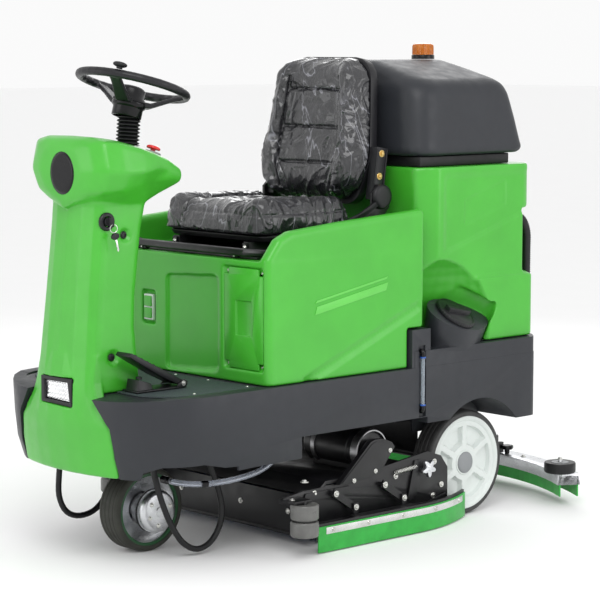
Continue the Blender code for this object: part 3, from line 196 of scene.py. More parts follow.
M = {
    "green": moulded("green_moulding", (0.052, 0.395, 0.026), 0.33, coat=0.15),
    "dark": moulded("dark_moulding", (0.021, 0.023, 0.028), 0.44, grain=700, grain_strength=0.2, specular=0.38),
    "black": moulded("black_moulding", (0.008, 0.008, 0.01), 0.4, grain=800, specular=0.4),
    "gloss_black": moulded("gloss_black", (0.003, 0.003, 0.004), 0.22, grain=500, grain_strength=0.04, specular=0.3),
    "steel_black": painted("black_powder_coat", (0.005, 0.005, 0.006), 0.36),
    "zinc": metal("zinc_plate", (0.66, 0.66, 0.63), 0.26, (1, 1, 1), 0.06),
    "aluminium": metal("brushed_aluminium", (0.66, 0.67, 0.69), 0.3),
    "stainless": metal("stainless_strip", (0.72, 0.72, 0.71), 0.24, (14, 1, 1)),
    "tyre_grey": rubbery("grey_tyre", (0.05, 0.05, 0.05), 0.58),
    "tyre_olive": rubbery("olive_tyre", (0.03, 0.031, 0.025), 0.6),
    "rim_white": moulded("white_nylon", (0.66, 0.7, 0.68), 0.42, grain=500),
    "rubber": rubbery("black_rubber", (0.007, 0.007, 0.008), 0.42),
    "blade": rubbery("green_polyurethane", (0.03, 0.36, 0.05), 0.34, strength=0.08, dust=0.0),
    "grey": moulded("grey_moulding", (0.16, 0.16, 0.165), 0.5),
    "cap_grey": moulded("hub_cap_grey", (0.24, 0.25, 0.26), 0.45),
    "red": moulded("red_button", (0.62, 0.008, 0.008), 0.25, grain_strength=0.02, coat=0.3),
    "yellow": moulded("yellow_tab", (0.72, 0.46, 0.02), 0.4),
    "blue": moulded("blue_ring", (0.02, 0.09, 0.38), 0.4),
}


def film_vinyl():
    """Dark grey leathercloth seen through a loose clear film: long creases on a soft dark base, with painted
    highlights. The crease peaks are painted lighter, and thin bright streaks are painted on to stand for the film's
    reflections.
    """
    g = Graph("wrapped_vinyl", (0.016, 0.016, 0.019), 0.36, Coat_Weight=1.0, Coat_Roughness=0.07,
        Specular_IOR_Level=0.4)
    crease = g.noise(15, 5, 0.62, (1.0, 1.0, 0.45), 1.8)
    fine = g.noise(52, 4, 0.6, (1.0, 1.0, 0.5), 1.4)
    # painted highlight: thin bright streaks on a noise contour stand for the film's reflections
    line = g.ramp(g.noise(5, 3, 0.5, (1.0, 1.0, 0.35), 1.6), ((0.492, (0, 0, 0)), (0.5, (1, 1, 1)),
        (0.506, (0, 0, 0))))
    # painted highlight: the crease peaks are painted lighter than the dark vinyl
    base_with_painted_sheen = g.mix(g.spread(crease, 0, 1, 0.56, 0.78), (0.01, 0.01, 0.013), (0.06, 0.06, 0.07))
    g.paint(g.mix(line, base_with_painted_sheen, (0.22, 0.22, 0.25)), g.spread(fine, 0.22, 0.5))
    g.bump(crease, 0.85, 0.016)
    g.bump(fine, 0.6, 0.005)
    return g.bump(g.cells(900), 0.05, 0.0004).material


M["vinyl"] = film_vinyl()


def amber():
    g = Graph("amber_lens", (0.9, 0.3, 0.012), 0.12, Transmission_Weight=0.35, IOR=1.46)
    g.paint(g.mix(g.spread(g.noise(60, 3), 0, 1), (0.52, 0.125, 0.002), (0.72, 0.215, 0.006)))
    return g.bump(g.wave(120, "Z"), 0.2, 0.001).material


def clear(name, colour, roughness):
    g = Graph(name, colour, roughness, Transmission_Weight=0.75, IOR=1.45)
    return g.bump(g.noise(120, 2), 0.05, 0.0005).material


def mat_surface():
    """A ribbed, speckled rubber mat with a bluish cast."""
    g = Graph("platform_mat", (0.02, 0.032, 0.036), 0.7)
    g.paint(g.mix(g.spread(g.cells(260), 0, 1, 0.0, 0.5), (0.012, 0.018, 0.021), (0.045, 0.062, 0.066)))
    g.bump(g.noise(500, 3), 0.5, 0.0008)
    return g.bump(g.wave(22, "X"), 0.25, 0.0012).material


M["amber"] = amber()
M["led"] = metal("led_reflector", (0.9, 0.9, 0.92), 0.22, (1, 1, 1), 0.9)
M["green_light"] = moulded("green_band", (0.11, 0.52, 0.07), 0.36)
M["green_ring"] = moulded("dark_green_ring", (0.01, 0.07, 0.022), 0.35)
M["yellow_zinc"] = metal("yellow_zinc", (0.78, 0.56, 0.22), 0.3, (1, 1, 1), 0.06)
M["lens"] = clear("clear_lens", (0.86, 0.88, 0.9), 0.08)
M["tube"] = clear("level_tube", (0.62, 0.7, 0.78), 0.12)
M["hose_clear"] = clear("clear_hose", (0.52, 0.56, 0.64), 0.18)
M["mat"] = mat_surface()
M["bristle"] = rubbery("blue_bristle", (0.012, 0.04, 0.14), 0.8, 300, 0.9)
M["roller"] = rubbery("grey_roller", (0.13, 0.13, 0.125), 0.32, 500, 0.15, 0.2)
M["strap"] = metal("motor_strap", (0.42, 0.42, 0.43), 0.34)


# ---------------------------------------------------------------- mesh tools
def link(obj, look=None, body=None, smooth=40):
    if obj.name not in scene.collection.objects:
        scene.collection.objects.link(obj)
    if look:
        obj.data.materials.clear()
        obj.data.materials.append(M[look])
    if smooth and obj.type == "MESH":
        obj.data.shade_smooth()
        obj.data.set_sharp_from_angle(angle=radians(smooth))
    if body:
        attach(obj, body)
    return obj


def from_bm(name, bm, look=None, body=None, smooth=40):
    bmesh.ops.recalc_face_normals(bm, faces=bm.faces)
    mesh = bpy.data.meshes.new(name)
    bm.to_mesh(mesh)
    bm.free()
    return link(bpy.data.objects.new(name, mesh), look, body, smooth)


def apply_modifiers(obj):
    bpy.context.view_layer.update()
    mesh = bpy.data.meshes.new_from_object(obj.evaluated_get(bpy.context.evaluated_depsgraph_get()))
    obj.modifiers.clear()
    obj.data = mesh
    return obj


def modify(obj, kind, **settings):
    """Adds a modifier with the settings given."""
    made = obj.modifiers.new(kind.lower(), kind)
    for key, value in settings.items():
        setattr(made, key, value)
    return made


def copy_of(node, name):
    """The CAD node's mesh, with its flat faces made whole, as a new object."""
    bm = bmesh.new()
    bm.from_mesh(NODES[node].data)
    bmesh.ops.remove_doubles(bm, verts=bm.verts, dist=2e-5)
    bmesh.ops.dissolve_limit(bm, angle_limit=radians(1.0), verts=bm.verts, edges=bm.edges)
    return from_bm(name, bm)


BODY_OF = {n: b for b, members in frame["record"]["behaviour"]["bodies"].items() for n in members}


SLOT_OF = {s["node"]: s["material_slot"] for s in frame["record"]["subparts"]}


def shown_for(node, obj, look, smooth):
    """Shows the object in place of a CAD node, on the node's body."""
    link(obj, look, BODY_OF[node], smooth)
    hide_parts(node)
    return obj


def rounded(node, look, width):
    """A copy of a CAD node with its edges rounded over, shown in its place."""
    obj = copy_of(node, node + "_skin")
    modify(obj, "BEVEL", width=width, segments=2, limit_method="ANGLE", angle_limit=radians(35),
        use_clamp_overlap=True, harden_normals=False, miter_outer="MITER_ARC")
    return shown_for(node, apply_modifiers(obj), look, 50)


def remeshed(obj, voxel, passes):
    """The object remade in even voxel faces and relaxed."""
    modify(obj, "REMESH", mode="VOXEL", voxel_size=voxel)
    modify(obj, "SMOOTH", factor=0.5, iterations=passes)
    return apply_modifiers(obj)


def moulding(node, look, voxel, passes, softer=None, more=0):
    """A CAD node remade as one soft moulding, rounder still where softer(point) holds."""
    obj = remeshed(copy_of(node, node + "_moulding"), voxel, passes)
    if softer:
        group = obj.vertex_groups.new(name="softer")
        group.add([v.index for v in obj.data.vertices if softer(v.co)], 1.0, "REPLACE")
        modify(obj, "SMOOTH", factor=0.5, iterations=more, vertex_group="softer")
        apply_modifiers(obj)
    return shown_for(node, obj, look, 60)


# ---------------------------------------------------------------- camera, light and floor
SENSOR, LENS = 36.0, 2219.0 / 600 * 36.0  # millimetres
AZIMUTH, PITCH = radians(47.385), radians(6.519)


def aimed(name, data, place, direction):
    """A camera or a light at the place, looking along the direction."""
    obj = bpy.data.objects.new(name, data)
    obj.matrix_world = Matrix.Translation(place) @ direction.to_track_quat("-Z", "Y").to_matrix().to_4x4()
    scene.collection.objects.link(obj)
    return obj


def camera():
    look = Vector((-sin(AZIMUTH) * cos(PITCH), cos(AZIMUTH) * cos(PITCH), -sin(PITCH)))
    data = bpy.data.cameras.new("camera")
    data.sensor_width, data.lens = SENSOR, LENS
    scene.camera = aimed("camera", data, at(5.089, -3.987, 1.48), look)


def area(name, place, target, size, power):
    data = bpy.data.lights.new(name, "AREA")
    data.shape = "RECTANGLE"
    data.size, data.size_y = size
    data.energy = power
    aimed(name, data, place, Vector(target) - Vector(place))


def studio():
    """A white surround, four soft lights and a pale floor."""
    world = bpy.data.worlds.new("studio")
    world.use_nodes = True
    background = world.node_tree.nodes["Background"]
    background.inputs["Color"].default_value = (1.0, 1.0, 1.0, 1.0)
    background.inputs["Strength"].default_value = 0.96
    scene.world = world
    area("key", (2.6, -2.4, 3.6), (0, 0, 0.7), (2.4, 2.4), 70)
    area("side", (4.2, 1.8, 1.9), (0, 0.2, 0.7), (2.2, 2.6), 34)
    area("front", (-1.6, -4.4, 1.6), (0, -0.3, 0.7), (2.4, 2.0), 20)
    area("back", (-2.6, 3.2, 2.8), (0, 0.2, 0.9), (2.4, 2.0), 30)
    bm = bmesh.new()
    bmesh.ops.create_grid(bm, x_segments=1, y_segments=1, size=60)
    g = Graph("floor", (0.95, 0.95, 0.95), 0.8, Specular_IOR_Level=0.2)
    g.paint(g.mix(g.noise(3), (0.94, 0.94, 0.94), (0.96, 0.96, 0.96)))
    M["floor"] = g.material
    floor = from_bm("floor", bm, "floor")
    floor.location.z = -0.0005
    scene.view_settings.view_transform = "Standard"


camera()
studio()

# ---------------------------------------------------------------- cables
NEAR_CABLE = [(0.186, -0.062, 0.36), (0.188, -0.056, 0.3), (0.193, -0.045, 0.24), (0.197, -0.028, 0.18),
    (0.2, 0.002, 0.11), (0.201, 0.046, 0.048), (0.202, 0.1, 0.02), (0.202, 0.152, 0.034), (0.201, 0.188, 0.078),
    (0.2, 0.198, 0.13), (0.196, 0.184, 0.195), (0.19, 0.164, 0.255), (0.186, 0.152, 0.305), (0.184, 0.15, 0.36)]
FAR_CABLE = [(-0.178, -0.1, 0.36), (-0.179, -0.104, 0.3), (-0.181, -0.112, 0.22), (-0.183, -0.112, 0.15),
    (-0.185, -0.084, 0.098), (-0.186, -0.032, 0.078), (-0.186, 0.03, 0.092), (-0.185, 0.08, 0.15),
    (-0.183, 0.102, 0.23), (-0.181, 0.106, 0.3), (-0.18, 0.106, 0.36)]


def smooth_route(points, per_span=4):
    """Points on the Catmull-Rom curve through the route's own points."""
    route = [Vector(p) for p in points]
    ends = [2 * route[0] - route[1], *route, 2 * route[-1] - route[-2]]
    found = []
    for a, b, c, d in zip(ends, ends[1:], ends[2:], ends[3:]):
        for step in range(per_span):
            t = step / per_span
            found.append(0.5 * (2 * b + (c - a) * t + (2 * a - 5 * b + 4 * c - d) * t**2
                + (3 * b - a - 3 * c + d) * t**3))
    return [*found, route[-1]]


def free_cable(node, points):
    """A round cable along the route, hanging between its two ends on the chassis."""
    route = smooth_route([at(*p) for p in points])
    curve = bpy.data.curves.new(node + "_cord", "CURVE")
    curve.dimensions = "3D"
    curve.bevel_depth = 0.009
    curve.bevel_resolution = 4
    curve.use_fill_caps = True
    spline = curve.splines.new("POLY")
    spline.points.add(len(route) - 1)
    for point, place in zip(spline.points, route):
        point.co = (*place, 1)
    obj = bpy.data.objects.new(node + "_cord", curve)
    scene.collection.objects.link(obj)
    curve.materials.append(M["rubber"])
    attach(obj, "chassis")
    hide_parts(node)


free_cable("motor_cable_left", NEAR_CABLE)
free_cable("motor_cable_right", FAR_CABLE)

# ---------------------------------------------------------------- carried-over CAD nodes
LOOKS = {
    "green_moulded": "green", "dark_moulded": "dark", "black_plastic": "black", "black_steel": "steel_black",
    "aluminium": "aluminium", "grey_tyre": "tyre_grey", "olive_tyre": "tyre_olive", "white_rim": "rim_white",
    "vinyl": "vinyl", "rubber": "rubber", "green_blade": "blade", "amber": "amber", "red": "red", "lens": "lens",
    "bristle": "bristle", "grey_plastic": "grey", "clear_tube": "tube",
}
for node, obj in NODES.items():
    look = M["mat"] if node == "platform_mat" else M[LOOKS[SLOT_OF[node]]]
    obj.data.materials.clear()
    obj.data.materials.append(look)
    obj.data.shade_smooth()
    obj.data.set_sharp_from_angle(angle=radians(30))


# ---------------------------------------------------------------- shape kit
SLOT_FOR = {look: slot for slot, looks in {
    "green_moulded": "green green_light green_ring",
    "black_plastic": "black gloss_black",
    "black_steel": "steel_black strap",
    "aluminium": "zinc yellow_zinc aluminium stainless",
    "lens": "led",
    "white_rim": "rim_white",
    "grey_tyre": "tyre_grey",
    "olive_tyre": "tyre_olive",
    "rubber": "rubber",
    "green_blade": "blade",
    "grey_plastic": "cap_grey roller yellow blue",
    "red": "red",
    "amber": "amber",
    "clear_tube": "tube hose_clear",
    "bristle": "bristle",
}.items() for look in looks.split()}
AXES = {"X": (1, 2, 0), "Y": (0, 2, 1), "Z": (0, 1, 2)}  # where an outline's u and v and its thickness go


def turned_to(axis):
    """The turn that takes +z to the axis."""
    return Vector((0, 0, 1)).rotation_difference(Vector(axis)).to_matrix().to_4x4()


def mm(*points):
    """An outline given in millimetres."""
    return [(u / 1000, v / 1000) for u, v in points]


def skin(bm, rings, closed=False):
    """Faces between neighbouring rings of vertices; a ring of one vertex makes a fan."""
    for a, b in [*zip(rings, rings[1:]), *([(rings[-1], rings[0])] if closed else [])]:
        sides = max(len(a), len(b))
        for i in range(sides):
            j = (i + 1) % sides
            corners = list(dict.fromkeys([a[i % len(a)], a[j % len(a)], b[j % len(b)], b[i % len(b)]]))
            if len(corners) > 2:
                bm.faces.new(corners)


class Group:
    """Several small shapes of one material that ride together, made as one mesh."""

    def __init__(self, name, look, body, slot=None):
        self.name, self.look, self.body, self.slot = name, look, body, slot or SLOT_FOR[look]
        self.bm = bmesh.new()

    def take(self, bm, matrix):
        bmesh.ops.recalc_face_normals(bm, faces=bm.faces)
        bmesh.ops.transform(bm, matrix=matrix, verts=bm.verts)
        mesh = bpy.data.meshes.new("piece")
        bm.to_mesh(mesh)
        bm.free()
        self.bm.from_mesh(mesh)
        bpy.data.meshes.remove(mesh)
        return self

    def soften(self, bm, width):
        """Rounds over every edge sharper than 30 degrees."""
        sharp = [e for e in bm.edges if len(e.link_faces) == 2 and e.calc_face_angle(0) > radians(30)]
        bmesh.ops.bevel(bm, geom=sharp, offset=width, segments=2, profile=0.6, affect="EDGES", clamp_overlap=True)
        return bm

    def box(self, lo, hi, bevel, matrix=None):
        """A block between two opposite corners."""
        lo, hi = Vector(map(min, lo, hi)), Vector(map(max, lo, hi))
        bm = bmesh.new()
        bmesh.ops.create_cube(bm, size=1.0)
        bmesh.ops.scale(bm, vec=hi - lo, verts=bm.verts)
        bmesh.ops.translate(bm, vec=(lo + hi) / 2, verts=bm.verts)
        return self.take(self.soften(bm, bevel), matrix or MACHINE)

    def prism(self, outline, axis, start, end, bevel, matrix=None):
        """The outline drawn across the axis, from start to end along it."""
        iu, iv, iw = AXES[axis]
        bm = bmesh.new()
        rows = []
        for w in sorted((start, end)):
            row = []
            for u, v in outline:
                place = [0.0, 0.0, 0.0]
                place[iu], place[iv], place[iw] = u, v, w
                row.append(bm.verts.new(place))
            rows.append(row)
        skin(bm, rows)
        bm.faces.new(rows[0])
        bm.faces.new(rows[1])
        bmesh.ops.recalc_face_normals(bm, faces=bm.faces)
        return self.take(self.soften(bm, bevel), matrix or MACHINE)

    def turned(self, profile, place, axis=(0, 0, 1), sides=32, closed=False, wave=None):
        """The (radius, height) points spun about the axis through the place; wave(angle) scales the radius."""
        bm = bmesh.new()
        rings = []
        for radius, height in profile:
            if radius < 1e-6:
                rings.append([bm.verts.new((0, 0, height))])
                continue
            ring = []
            for i in range(sides):
                t = tau * i / sides
                r = radius * (wave(t) if wave else 1.0)
                ring.append(bm.verts.new((r * cos(t), r * sin(t), height)))
            rings.append(ring)
        skin(bm, rings, closed)
        return self.take(bm, MACHINE @ Matrix.Translation(place) @ turned_to(axis))

    def bolt(self, place, axis, radius=0.0065, head=0.005, washer=True):
        """A hexagon head with a washer under it."""
        if washer:
            self.turned([(0, 0.0016), (radius * 1.5, 0.0016), (radius * 1.62, 0.0008), (radius * 1.62, -0.0008),
                (0, -0.0008)], place, axis, 24)
        return self.turned([(0, head + 0.0016), (radius * 0.72, head + 0.0014), (radius, head), (radius, 0.0012),
            (0, 0.0012)], place, axis, 6)

    def screw(self, place, axis, radius=0.005):
        """A low domed head with a ring round its recess."""
        return self.turned([(0, 0.0012), (radius * 0.42, 0.0012), (radius * 0.46, 0.0026), (radius * 0.8, 0.0024),
            (radius, 0.001), (radius, -0.001), (0, -0.001)], place, axis, 20)

    def tube(self, points, radius, sides=12, ridged=0.0):
        """A round tube along the points, with every other ring drawn in when ridged."""
        points = [Vector(p) for p in points]
        bm = bmesh.new()
        rows = []
        normal = None
        for i, point in enumerate(points):
            along = (points[min(i + 1, len(points) - 1)] - points[max(i - 1, 0)]).normalized()
            if normal is None:
                normal = along.orthogonal().normalized()
            normal = (normal - along * normal.dot(along)).normalized()
            other = along.cross(normal)
            r = radius * (1.0 - (ridged if i % 2 else 0.0))
            rows.append([bm.verts.new(point + (normal * cos(tau * k / sides) + other * sin(tau * k / sides)) * r)
                for k in range(sides)])
        skin(bm, rows)
        bm.faces.new(rows[0])
        bm.faces.new(rows[-1])
        return self.take(bm, MACHINE)

    def done(self, smooth=38, replaces=()):
        obj = from_bm(self.name, self.bm, self.look, self.body, smooth)
        if replaces:
            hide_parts(*replaces)
        return obj


MACHINE = Matrix.Translation((0, -SHIFT, 0))
SIDES = (("left", 1), ("right", -1))


def along_route(points, count):
    """Points evenly spaced on the smooth curve through a route."""
    route = smooth_route(points, 8)
    lengths = [0.0]
    for a, b in zip(route, route[1:]):
        lengths.append(lengths[-1] + (b - a).length)
    found = []
    for i in range(count):
        want = lengths[-1] * i / (count - 1)
        k = max(j for j in range(len(lengths) - 1) if lengths[j] <= want + 1e-12)
        t = (want - lengths[k]) / max(1e-9, lengths[k + 1] - lengths[k])
        found.append(route[k].lerp(route[k + 1], min(1.0, t)))
    return found


# ---------------------------------------------------------------- soft mouldings over the CAD shapes
ESTOP_SEAT = Vector((0.112, 0.016, 1.1785))


def column_ends(p):
    """The column's head and foot, but not the flat that the emergency stop sits on."""
    return p.z < 0.44 or p.z > 1.035 and (p - at(*ESTOP_SEAT)).length > 0.03


COLUMN = moulding("front_column", "green", 0.0042, 4, column_ends, 34)
moulding("seat_box", "green", 0.0048, 6)
TANK = moulding("recovery_tank", "green", 0.005, 8)


def ease(t):
    """A smooth step from 0 to 1."""
    t = min(1.0, max(0.0, t))
    return t * t * (3 - 2 * t)


def tank_relief():
    """Each side of the tank is sunk above a diagonal crease, and sunk again in a slanted panel."""
    slope, soft, crisp = 0.3, 0.03, 0.006
    y0, y1, z1 = 0.955, 1.372, 1.098
    for vert in TANK.data.vertices:
        x, y, z = vert.co.x, vert.co.y + SHIFT, vert.co.z
        if abs(x) < 0.35 or not y0 < y < y1 or not 0.79 < z < z1:
            continue
        fade = ease((y - y0) / soft) * ease((y1 - y) / soft) * ease((z1 - z) / soft)
        over = ease((z - (0.842 + slope * (y - 0.985))) / 0.016)
        rise = slope * (y - 1.0)
        panel = ease((y - 1.06) / crisp) * ease((1.255 - y) / crisp)
        panel *= ease((z - (0.905 + rise)) / crisp) * ease((0.99 + rise - z) / crisp)
        vert.co.x -= copysign(0.0055 * fade * over + 0.0016 * panel, x)
    TANK.data.update()


tank_relief()
moulding("tank_lid", "dark", 0.005, 9, lambda p: p.z > 1.175, 40)
ROUNDED = {  # node: look and the radius of its edges
    "base_shell": ("dark", 0.003),
    "front_hatch_cover": ("green", 0.0022),
    "headlight_bezel": ("black", 0.0015),
    "throttle_pedal": ("black", 0.0016),
    "pedal_base": ("black", 0.0014),
    "seat_pan": ("steel_black", 0.0016),
    "backrest_shell": ("black", 0.005),
    "recliner_lever": ("black", 0.0022),
    "filler_cap_left": ("black", 0.0016),
    "filler_cap_right": ("black", 0.0016),
    "ignition_key": ("black", 0.0008),
    "drive_fork": ("steel_black", 0.0014),
    "squeegee_arm": ("steel_black", 0.0014),
    "squeegee_channel": ("aluminium", 0.0012),
    "brush_deck": ("steel_black", 0.001),
    "seat_plate": ("steel_black", 0.0012),
    "battery_pack": ("black", 0.002),
    "tank_gasket": ("rubber", 0.003),
}
for NODE, (LOOK, RADIUS) in ROUNDED.items():
    rounded(NODE, LOOK, RADIUS)


def surface_of(obj):
    return BVHTree.FromPolygons([v.co for v in obj.data.vertices], [tuple(p.vertices) for p in obj.data.polygons])


# ---------------------------------------------------------------- steering column
KEY = Vector((0.118, -0.156, 0.988))
ESTOP_AXIS = Vector((0.06, 0.33, 1.0)).normalized()
STEER_TILT = radians(16)
STEER_HUB = Vector((0.0, 0.022, 1.318))
STEER_AXIS = Vector((0, sin(STEER_TILT), cos(STEER_TILT)))
STEER_R, STEER_TUBE, STEER_RIM_Z = 0.158, 0.0135, 0.052


def badge():
    """A plain black oval on the head's front, following its curve."""
    head = surface_of(COLUMN)
    bm = bmesh.new()
    rings, sides = 7, 56
    centre = Vector((0.012, -0.5, 1.124))

    def drop(x, z, lift):
        return head.ray_cast(at(x, centre.y, z), Vector((0, 1, 0)))[0] + Vector((0, -lift, 0))

    rows = [[bm.verts.new(drop(centre.x, centre.z, 0.0022))]]
    for k in range(1, rings + 1):
        f = k / rings
        lift = 0.0022 if k < rings else 0.0006
        rows.append([bm.verts.new(drop(centre.x + 0.0555 * f * cos(tau * i / sides),
            centre.z + 0.061 * f * sin(tau * i / sides), lift)) for i in range(sides)])
    skin(bm, rows)
    obj = from_bm("front_badge", bm, "gloss_black", "chassis", 60)
    modify(obj, "SOLIDIFY", thickness=0.002, offset=1.0 if sum(p.normal.y for p in obj.data.polygons) > 0 else -1.0)
    apply_modifiers(obj)


def column_details():
    """The badge, headlight, key, emergency stop and steering boot."""
    badge()
    lamp = Group("headlight_led", "led", "chassis")
    lamp.prism(mm((-57.5, 476.5), (55.5, 473.5), (46.5, 528.5), (-61.5, 527.5)), "Y", -0.2425, -0.2355, 0.001)
    for row in range(4):
        for col in range(8):
            x = -0.05 + col * 0.0137 + (0.5 if row % 2 else 0.0) * 0.004
            lamp.turned(mm((0, 3.2), (3, 2.8), (5.2, 1.2), (5.8, -1), (0, -1)), (x * (1 - 0.04 * row), -0.2425,
                0.4825 + row * 0.0128), (0, -1, 0), 12)
    lamp.done(60, ("headlight_lens",))

    switch = Group("key_switch", "black", "chassis")
    switch.turned(mm((26, -4), (26, 3), (23.5, 5.2), (16.5, 5.2), (15, 3), (15, -4)), KEY + Vector((0.0008, 0, 0)),
        (1, 0, 0), 28, True)
    for y, z in ((-0.09, 0.946), (-0.144, 0.6)):
        x = 0.1085 if z > 0.8 else 0.1175
        for sign in (1, -1):
            switch.turned(mm((0, 4), (4, 4), (4.5, 6.5), (8, 6), (9.5, 3), (11.2, 2), (11.2, -10), (0, -10)),
                (sign * x, y, z), (sign, 0, 0), 20)
    switch.done()

    keys = Group("key_ring", "stainless", "key")
    ring_at = KEY + Vector((0.03, 0.002, -0.018))
    keys.tube([ring_at + Vector((0.003 * sin(t), 0.0105 * sin(t),
        0.0115 * cos(t))) for t in (tau * i / 28 for i in range(29))], 0.0011, 8)
    dangle = Matrix.Rotation(radians(14), 4, "X")
    keys.prism(mm((-3.5, 0), (3.5, 0), (3.5, -30), (1, -34), (-2, -34), (-3.5, -30), (-2.2, -24), (-3.5, -18),
        (-2.4, -12)), "X", -0.0011, 0.0011, 0.0003,
        MACHINE @ Matrix.Translation(KEY + Vector((0.03, 0.01, -0.05))) @ dangle)
    keys.done()
    fob = [(0.013 * cos(t), 0.0095 * sin(t)) for t in (tau * i / 24 for i in range(24))]
    Group("key_fob", "black", "key").prism(fob, "X", -0.0042, 0.0042, 0.0016,
        MACHINE @ Matrix.Translation(KEY + Vector((0.03, 0.007, -0.04))) @ dangle).done()

    Group("estop_collar", "cap_grey", "chassis").turned(mm((25.5, -6), (25.5, 0.6), (23.5, 1.8), (13, 1.8), (13, -6)),
        ESTOP_SEAT, ESTOP_AXIS, 32, True).done()
    Group("estop_mushroom", "red", "estop").turned(mm((0, 20), (6, 19.9), (12, 19.2), (16.5, 17.8), (19.2, 16),
        (20.4, 13.8), (20.6, 11.8), (20, 9.8), (18, 8.6), (7.2, 8.5), (7.2, 1.2), (0, 1.2)), ESTOP_SEAT, ESTOP_AXIS,
        40).done(50, ("estop_button",))

    boot = Group("steering_boot", "rubber", "chassis")
    height, ribs = 0.0845, 8
    profile = [(0.0, height), (0.026, height), (0.0275, height - 0.002)]
    for i in range(ribs):
        z = height * (ribs - i - 0.5) / ribs
        profile += [(0.0315, z + 0.0032), (0.0345, z + 0.0012), (0.0345, z - 0.0012), (0.0315, z - 0.0032),
            (0.0275, z - 0.005)]
    profile += [(0.031, 0.0006), (0.036, 0.0), (0.036, -0.0016), (0.0, -0.0016)]
    tilt = radians(5)
    boot.turned(profile, (0.0, 0.0135, 1.1965), (0, sin(tilt), cos(tilt)), 40)
    boot.done(50, ("steering_bellows",))


def steering_wheel():
    """The rim with finger grips inside, three dished spokes and a hub with a plain cap."""
    wheel = moulding("steering_wheel", "black", 0.003, 7)
    place = Matrix.Translation(at(*STEER_HUB)) @ turned_to(STEER_AXIS)
    back = place.inverted()
    for vert in wheel.data.vertices:
        p = back @ vert.co
        flat = hypot(p.x, p.y)
        if abs(flat - STEER_R) < STEER_TUBE * 1.35 and abs(p.z - STEER_RIM_Z) < STEER_TUBE * 1.35:
            grip = 0.5 + 0.5 * cos(28 * atan2(p.y, p.x))
            push = 0.0026 * grip * max(0.0, (STEER_R - flat) / STEER_TUBE)
            p.x *= 1 + push / flat
            p.y *= 1 + push / flat
            vert.co = place @ p
    Group("steering_cap", "gloss_black", "steering").turned(mm((0, 50), (16, 49.6), (30, 47.4), (37.5, 43),
        (40.5, 37), (41, 15), (48, 9), (50, 0), (50, -11), (45.5, -15), (44, -18), (44, -42), (42.5, -43.5),
        (39.2, -43.5), (39.2, -29), (0, -29)), STEER_HUB, STEER_AXIS, 48).done(50)
    angle = radians(305)
    base = Vector((STEER_R * cos(angle), STEER_R * sin(angle), STEER_RIM_Z + STEER_TUBE + 0.0012))
    hub = Matrix.Translation(STEER_HUB) @ turned_to(STEER_AXIS)
    Group("spinner_grip", "black", "spinner").turned(mm((0, 19), (10, 18.7), (16.5, 17.2), (20, 14.6), (20.8, 11.8),
        (19.5, 8.5), (15, 6), (10.5, 4.5), (8.8, 3), (8.5, 1.5), (9.5, 0), (0, 0)), hub @ base, STEER_AXIS,
        36).done(60, ("spinner_knob",))


# ---------------------------------------------------------------- drive wheel
DRIVE = Vector((0.022, 0.035, 0.1255))
DRIVE_HALF = 0.044


def under_frame():
    """The dark cross plates between the deck and the axle, and the bracket beside them."""
    plates = Group("frame_cross_plates", "steel_black", "chassis")
    plates.box((-0.218, 1.0, 0.195), (0.218, 1.004, 0.421), 0.001)
    plates.box((0.205, 0.905, 0.3), (0.209, 0.999, 0.421), 0.001)
    plates.box((-0.209, 0.905, 0.3), (-0.205, 0.999, 0.421), 0.001)
    plates.done(30)


